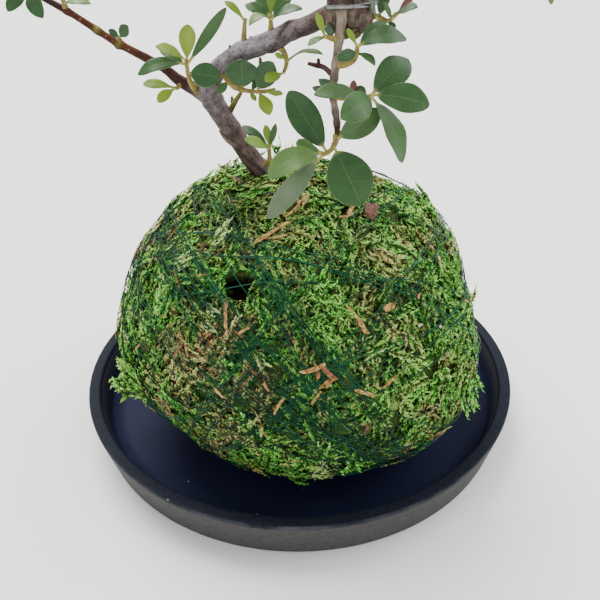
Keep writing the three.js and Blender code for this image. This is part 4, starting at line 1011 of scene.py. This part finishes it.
# The leafy sprays: short twigs with leathery evergreen leaves, dark and glossy when old, yellow-green when
# young, on yellow stalks. Each leaf row is where its stalk leaves the twig, where its tip is, the blade's
# width, the way its upper face looks, how far its midrib arches, and its tone from old to young.
sprays = {
    "low_rosette": ([(10, -38, 107), (9.6, -38.4, 105), (8.5, -38.9, 103.6), (6.5, -39, 102.5)], [
        ((9.2, -38.7, 104.5), (15.6, -45, 92.2), 10.8, (0, -3, 1), 1, 0.15),
        ((6.5, -39, 102.6), (-6, -45, 99.6), 6.8, (0, -2, 3), 2.6, 0.4),
        ((6.6, -39, 102.4), (-6.8, -42, 88), 5.2, (-2, -2, -1), 1, 0),
        ((7.6, -38.8, 103.2), (-1, -34, 116), 7.2, (0, -3, 1), -1.5, 0.1),
        ((6.5, -38.6, 103), (0.5, -34, 103.9), 5, (0, -3, -1), 0, 0.35),
        ((9.8, -38.4, 106), (19.6, -40, 112.8), 6, (1, -3, 1), 1, 0.25),
        ((9.6, -38.3, 105), (11.5, -36.5, 107.5), 1.5, (0, -2, 1), 0, 0.8)]),
    "front_cluster": ([(9.2, -36, 115.3), (12.5, -40, 115.5), (15.5, -42.5, 116), (17, -43, 116.5)], [
        ((16.7, -42.8, 116.5), (25.3, -38, 122.9), 6.8, (-1, -3, 1), 1.5, 0.2),
        ((17, -43, 116.8), (29, -46, 115), 6.5, (0, -3, 2), 1.5, 0.2),
        ((17, -43, 116.2), (24, -47, 103), 6.5, (2, -2, 1), 1.5, 0.3),
        ((17, -43.5, 116.5), (9.8, -52, 114.2), 6.2, (0, -3, 1), 1, 0.3),
        ((15, -42.6, 116.3), (4.5, -44.5, 117.4), 4.5, (0, -2, 3), 1.2, 0.3),
        ((11, -38.5, 115.5), (4.5, -33, 116.5), 2.2, (0, -2, 1), 0, 0.1),
        ((12, -39.5, 115.6), (6, -32, 118), 2.6, (0, -3, 1), 0, 0.1),
        ((16, -42.5, 116.5), (14, -38, 117.5), 2.2, (0, -3, 1), 0, 0.3),
        ((13, -40, 115.6), (13.5, -38.5, 119), 1.6, (0, -3, 1), 0, 1.2)]),
    "upper_twig": ([(10, -34.3, 121.5), (12, -37, 122), (13.5, -37.5, 123), (14, -38, 124.5),
                    (14, -38, 125.8)], [
        ((14, -38, 125.5), (24.5, -38, 127), 5.5, (0, -2, 3), 2, 0.2),
        ((14, -38, 125.5), (20.5, -33.5, 130), 3.2, (-1, -3, 1), 0.8, 0.2),
        ((14, -38, 124.6), (9.4, -42, 124), 2.6, (0, -3, 1), 0.6, 0.1),
        ((14, -38, 124.3), (17.5, -42, 122.6), 2.4, (1, -2, 2), 0.8, 0.2),
        ((14, -38, 125.8), (12, -35.5, 129), 1.4, (0, -2, 1), 0, 0.8)]),
    "bud_stub": ([(10.5, -33.2, 126.5), (9, -34.5, 127), (7, -35, 127.5)], [
        ((7.2, -35, 127.4), (5.5, -34, 132), 1.8, (1, -3, 1), 0, 0.9),
        ((7.4, -35, 127.4), (3.5, -37, 126), 2.4, (0, -1, 3), 0.4, 0.4),
        ((8.8, -34.6, 127), (8, -31, 129.5), 2.2, (0, -3, 1), 0, 0.1)]),
    "knob": ([(16.5, -27, 131.3), (18, -28, 130.8), (19.5, -29, 130.4), (21.5, -30, 129.7),
              (23.5, -29.5, 131.2)], [
        ((19, -29.6, 130.3), (16.1, -36, 136), 2.4, (2, -2, 1), 0, 0.1),
        ((19.6, -29, 130.4), (21.5, -27, 137), 3.2, (1, -3, 1), -0.5, 0.1),
        ((22.4, -30, 130.2), (20, -32.5, 133.5), 2.4, (0, -1, 1), 0, 0.3),
        ((23.3, -29.6, 131), (27.2, -33, 132.7), 3.6, (0, -2, 3), 0.4, 0.3),
        ((21.5, -30, 129.7), (23, -31.5, 128.4), 1.4, (0, -3, 1), 0, 0.1),
        ((23.4, -29.5, 131), (27, -28, 134.5), 1.7, (0, -3, 1), 0, 1.3)]),
    "fork": ([(-25.5, -14, 112.2), (-26.3, -16.5, 115), (-26.5, -18, 118), (-26.5, -18, 120.5)], [
        ((-26.3, -18, 120), (-25.2, -17.5, 128.5), 4.2, (1, -3, 1), -1, 0.9),
        ((-26.6, -18, 120.3), (-33.2, -19.5, 124), 3.4, (0, -2, 3), 1, 0.9),
        ((-26.8, -17.8, 119.2), (-33, -16.5, 122.5), 2.8, (0, -2, 3), 0.8, 0.35),
        ((-26.2, -18, 119.6), (-15.6, -17.5, 132), 2.9, (1, -3, 1), -1.2, 0.25),
        ((-26.8, -18, 119.5), (-38.5, -20, 117.6), 4.2, (-1, -2, 2), 2, 0.25),
        ((-26.5, -17.7, 117.4), (-17.8, -21, 116.8), 6, (0, -3, 1), 0.5, 0.1)]),
    "shoot_foot": ([(-29.3, -13.5, 114.2), (-30, -14.6, 113.3), (-31, -15, 113.2)], [
        ((-30.6, -14.8, 113.2), (-39.5, -12, 114), 3, (0, -2, 2), 0.6, 0.75),
        ((-30.6, -15, 113.2), (-35, -18, 110.5), 3, (-1, -3, 1), 0.6, 0.8)]),
    "branch_bud": ([(-12, -16.6, 123.4), (-11.7, -17, 126.5), (-11.3, -17, 129.5)], [
        ((-11.4, -17, 128.8), (-16, -16, 133.2), 1.9, (0, -2, 2), 1, 0.9)]),
    "branch_rosette": ([(-5, -19, 126.3), (-5, -19, 128.5), (-5, -19, 130)], [
        ((-5, -19.2, 129.4), (-10, -22.5, 128.6), 3.6, (0, -1, 3), 1.5, 0.5),
        ((-5.2, -19, 129.6), (-11, -17.5, 132.5), 3.2, (0, -2, 2), 0.8, 0.3),
        ((-5, -18.8, 129.8), (-4.5, -17, 136), 2.6, (1, -3, 1), 0, 0.6),
        ((-4.8, -19, 129.6), (0.5, -16.5, 135), 3.2, (0, -2, 2), 0.6, 0.3),
        ((-4.8, -19.2, 129.4), (2.5, -21.5, 131.8), 3.4, (0, -2, 3), 1, 0.3),
        ((-5.1, -18.8, 129.8), (-8.5, -14, 135), 2.8, (0, -3, 1), 0, 0.3)]),
    "underside": ([(-4, -19.5, 124.3), (-2, -20.5, 122.3), (-1.5, -21, 120), (-2.3, -21, 117.5)], [
        ((-1.5, -21, 120), (7.2, -25.5, 122.4), 3, (0, -1, 4), 1.6, 0.6),
        ((-2.4, -21.4, 117.6), (-6.6, -25.6, 116.6), 3.2, (0, -2, 2), 0.4, 0.8),
        ((-1.7, -20.8, 120.8), (-4.2, -22.3, 122.2), 1.4, (0, -3, 1), 0, 0.8)]),
    "branch_face": ([(-18.3, -15.5, 117.6), (-16.5, -18, 115.6), (-14.8, -19.4, 114.3),
                     (-12.5, -20.4, 113.6), (-8.5, -21, 113.2), (-4.5, -21, 113.6)], [
        ((-12.6, -20.4, 113.6), (-12.6, -21.6, 121), 8.2, (0, -3, 1), -0.6, 0.1),
        ((-9.2, -21, 113.3), (-4.8, -22.4, 120.4), 5.6, (0, -3, 1), -0.6, 0.1),
        ((-8.7, -21, 113.2), (-6, -25, 108.5), 3.6, (1, -3, 1), 0.6, 0.9),
        ((-7, -21, 113.2), (-2.6, -24, 113.2), 1.8, (0, -2, 2), 0, 0.8),
        ((-10.5, -20.8, 113.4), (-8.6, -18.6, 116), 1.8, (0, -3, 1), 0, 0.2),
        ((-16.3, -18, 115.3), (-19.3, -18.4, 112.6), 2.2, (0, -3, 1), 0, 0.3),
        ((-11, -20.6, 113.4), (-9.4, -22.6, 111.4), 1.4, (0, -2, 2), 0, 0.7)]),
    "trunk_foot": ([(-9, -12, 91.4), (-7.4, -12.7, 92.6), (-7, -12.6, 97)], [
        ((-7, -12.8, 96), (-13.3, -17.4, 100.3), 3.4, (0, -2, 2), 0.6, 0.7),
        ((-7.1, -12.4, 96.6), (-14.6, -7.5, 101.2), 3, (0, -2, 2), 0.8, 0.15),
        ((-7, -12.6, 96.6), (-7.8, -12, 102.6), 2.2, (0, -3, 1), 0, 0.8),
        ((-6.9, -12.6, 96.6), (-5, -12.4, 103), 1.9, (1, -3, 1), 0, 0.3)]),
    "shoot_middle": ([(-43.8, -13, 124), (-43.2, -14, 125.6)], [
        ((-43.2, -13.9, 125.4), (-40.4, -15, 128.2), 3, (0, -3, 1), 0, 0.1),
        ((-43.3, -13.9, 125.4), (-45.2, -15, 127.4), 1.8, (0, -3, 1), 0, 0.1)]),
    "shoot_upper": ([(-55.5, -13, 131.7), (-55.4, -13.8, 133.5), (-55.6, -14, 135.5)], [
        ((-55.4, -13.8, 133.2), (-48.5, -15, 133.2), 3, (0, -2, 3), 0.8, 0.5),
        ((-55.6, -14, 135), (-52, -14.4, 140), 3.2, (0, -3, 1), 0, 0.6),
        ((-55.5, -14, 134.6), (-58.6, -16.5, 139.5), 3.2, (0, -3, 1), 0, 0.5)]),
    "shoot_left": ([(-62, -13, 135.5), (-63, -15, 136.2)], [
        ((-62.8, -14.6, 136), (-59.4, -18.6, 130.6), 4, (0, -3, 1), 1, 0.1),
        ((-62.9, -14.8, 136), (-67.4, -18.6, 132.2), 3.4, (0, -3, 1), 1, 0.1),
        ((-63, -15, 136.1), (-64.5, -19.5, 141), 4, (0, -2, 3), 0.6, 0.3)]),
}
leaf_stalk = 0.09
stalk_radius = 0.34
leaf_fold = 0.16


def blades(rows):
    """Leaves: along the stalk and blade the half width is width / 2 times sin(pi v^widest)^0.58, and each
    section is a thin lens, folded up at the midrib, with a rib below. Also each point's place (v, w,
    underside), its tone, and 0 where a twig has 1."""
    start, tip, face = (np.array([row[i] for row in rows], float)[:, None] for i in (0, 1, 3))
    width, arch, tone = (np.array([row[i] for row in rows], float)[:, None, None] for i in (2, 4, 5))
    axis = unit(tip - start)
    up = unit(face - (face * axis).sum(-1, keepdims=True) * axis)
    side = np.cross(axis, up)
    along_blade = 0.5 - 0.5 * np.cos(np.pi * np.linspace(0.02, 0.985, 17))
    v = np.concatenate([[-0.16, -0.11, -0.05], along_blade])[None, :, None]
    u = leaf_stalk + (1 - leaf_stalk) * v
    turn = circle(16)[None, None, :]
    widest = np.where(tone > 0.55, 1.45, 1.15)
    share = np.sin(np.pi * np.clip(v, 0, 1) ** widest) ** 0.58
    half = np.maximum(width / 2 * share, stalk_radius * np.clip(1 - 0.9 * v, 0.1, 1))
    thick = stalk_radius + (0.15 - stalk_radius) * np.clip(2.5 * share, 0, 1)
    w = np.cos(turn)
    wave = 0.05 * half * np.sin(4 * np.pi * v + 9 * tone + 2 * np.sign(w)) * w ** 2
    fold = leaf_fold * (np.hypot(half * w, 0.5) - 0.5)
    below = np.exp(-(w / 0.25) ** 2) * (np.sin(turn) > 0)
    rib = 0.22 * below * np.clip(1 - v, 0, 1) * np.clip(3 * share, 0, 1)
    height = 4 * arch * u * (1 - u) + fold + wave - thick * np.sin(turn) - rib
    centre = start[:, :, None] + u[..., None] * (tip - start)[:, :, None]
    rings = centre + height[..., None] * up[:, :, None] + (half * w)[..., None] * side[:, :, None]
    points, faces = skin(rings, start, tip)
    ones = np.ones(rings.shape[:3])
    place = np.stack([v * ones, w * ones, np.clip(3 * np.sin(turn), 0, 1) * ones], -1)
    place = place.reshape(len(rows), -1, 3)
    ends = np.tile([[-0.16, 0, 0], [1, 0, 0]], (len(rows), 1, 1))
    place = np.concatenate([place, ends], 1).reshape(-1, 3)
    return points, faces, place, np.repeat(tone.ravel(), len(place) // len(rows)), np.zeros(len(place))


def leathery_leaf():
    """A leathery leaf: satin above with a pale midrib, faint side veins and a thin pale margin, matt and
    greyer below, on a yellow stalk. The twig that carries it is orange-brown."""
    material, tree, shader = new_material("leathery_leaf", Roughness=0.45, Specular_IOR_Level=0.3)
    tone, woody, where = attribute(tree, "tone"), attribute(tree, "twig"), object_place(tree)
    v, across, under = node(tree, "ShaderNodeSeparateXYZ", {0: attribute(tree, "blade", "Vector")}).outputs
    w = calc(tree, "ABSOLUTE", across)
    upper = ramp(tree, tone, {0: (0.1, 0.15, 0.075), 0.06: (0.016, 0.06, 0.014), 0.3: (0.036, 0.1, 0.02),
                              0.42: (0.09, 0.18, 0.035), 0.7: (0.15, 0.26, 0.02), 1: (0.21, 0.31, 0.02)})
    # The mottling is partly the leaf's own bloom and partly painted sheen: its paler, bluer patches stand
    # in for the sky's soft reflection.
    fleck_and_sheen, _ = clouds(tree, where, 230.0, 2.0, (0.7, 0.72, 0.7), (1.25, 1.2, 1.3))
    upper = mix(tree, 1.0, upper, fleck_and_sheen, "MULTIPLY")
    spaced = calc(tree, "MULTIPLY_ADD", v, 7.0, calc(tree, "MULTIPLY", w, -1.3))
    vein = remap(tree, calc(tree, "PINGPONG", spaced, 1.0), 0, 0.13, 1, 0)
    rib = remap(tree, w, 0.008, 0.04, 1, 0)
    lines = remap(tree, w, 0.955, 0.985, 0, 0.5)
    for line, strength in ((vein, 0.03), (rib, 0.15)):
        lines = calc(tree, "MAXIMUM", lines, calc(tree, "MULTIPLY", line, strength))
    upper = mix(tree, lines, upper, (0.26, 0.36, 0.13))
    colour = mix(tree, under, upper, mix(tree, 0.55, upper, (0.12, 0.17, 0.08)))
    colour = mix(tree, remap(tree, v, -0.06, 0.08, 1, 0), colour, (0.42, 0.38, 0.09))
    colour = mix(tree, calc(tree, "GREATER_THAN", tone, 1.1), colour, (0.15, 0.05, 0.045))
    bark_tone, _ = clouds(tree, where, 600.0, 2.2, (0.11, 0.065, 0.015), (0.3, 0.25, 0.05))
    colour = mix(tree, woody, colour, bark_tone)
    tree.links.new(remap(tree, under, to_low=0.4, to_high=0.7), shader.inputs["Roughness"])
    leafy = calc(tree, "MULTIPLY_ADD", woody, -1.0, 1.0)
    relief = calc(tree, "MULTIPLY", calc(tree, "MAXIMUM", vein, rib), leafy)
    return cover(material, shader, colour, calc(tree, "MULTIPLY", relief, -1.0), 0.25, 0.00015)


leaf_green = leathery_leaf()


def add_spray(name, replaced, route, rows):
    """A spray as one piece: its twig with its leaves."""
    points, faces, _, _ = grown_limb(route, (0.92, 0.62, 0.47), ((0, 1),), sides=10, per_mm=3, rough=0.14)
    count = len(points)
    stem = (points, faces, np.zeros((count, 3)), np.zeros(count), np.ones(count))
    points, faces, place, tone, woody = gather([stem, blades(rows)])
    add_piece(name, points, faces, leaf_green, "leaf", [replaced],
              {"blade": place, "tone": tone, "twig": woody})


for name, (route, rows) in sprays.items():
    add_spray("leaves_" + name, "spray_" + name, route, rows)

# The crown: rosettes of leaves on short shoots at the ends of the upper branches, as on the lower sprays.
crown_shoots = {
    "right_tip": ((49.5, -16, 144.8), (58, -15.5, 139.5)), "right": ((25, -22, 149), (23, -25, 157.5)),
    "left_tip": ((-32.5, -11, 153.3), (-41, -10, 148.5)), "left": ((-6, -18, 158), (-9, -21, 166)),
    "back_tip": ((16.9, 23.5, 156.3), (19, 32, 152)), "back": ((10, -4, 163), (7, -1, 171)),
    "front": ((4, -42.5, 164.2), (5, -51.5, 161.5)), "right_upper": ((27.5, -18, 177), (36, -20, 179)),
    "left_upper": ((-16.5, -6, 182), (-25, -4, 184)), "top": ((5, -11, 187.5), (7, -10, 196)),
}
rosette_leaves = 6
leaf_turn = math.radians(137.5)
foot_lean, top_lean = 74, 28
rosette_leaf_length = 13.5
rosette_leaf_width = 6.6
rosette_arch = 0.8
foot_leaf, top_leaf = 0.35, 0.97


def rosette(foot, top, seed):
    """The leaf rows of a rosette: a spiral of 137.5 degrees a leaf round the shoot, whose leaves lean 74
    degrees from it at the foot and 28 at the top, where they are shorter."""
    foot, top = np.array(foot, float), np.array(top, float)
    axis = unit(top - foot)
    side = unit(np.cross((0, 1.0, 0), axis))
    rows = []
    for k in range(rosette_leaves):
        share = k / (rosette_leaves - 1)
        spin = leaf_turn * k + 6 * hash_value(seed + 3)
        turned = math.cos(spin) * side + math.sin(spin) * np.cross(axis, side)
        lean = math.radians(foot_lean + (top_lean - foot_lean) * share)
        out = math.cos(lean) * axis + math.sin(lean) * turned
        length = rosette_leaf_length * (0.8 + 0.35 * hash_value(seed * 17 + k)) * (1 - 0.25 * share)
        start = foot + (top - foot) * (foot_leaf + (top_leaf - foot_leaf) * share)
        face = np.array([0, 0, 1.0]) + 1.2 * axis - 0.3 * turned
        width = rosette_leaf_width * (0.75 + 0.35 * hash_value(seed * 31 + k))
        tone = 0.7 * hash_value(seed * 7 + k)
        rows.append((start, start + length * out, width, face, rosette_arch, tone))
    return rows


for seed, (name, (foot, top)) in enumerate(crown_shoots.items(), 1):
    add_spray("crown_leaves_" + name, "crown_" + name, [foot, top], rosette(foot, top, seed))
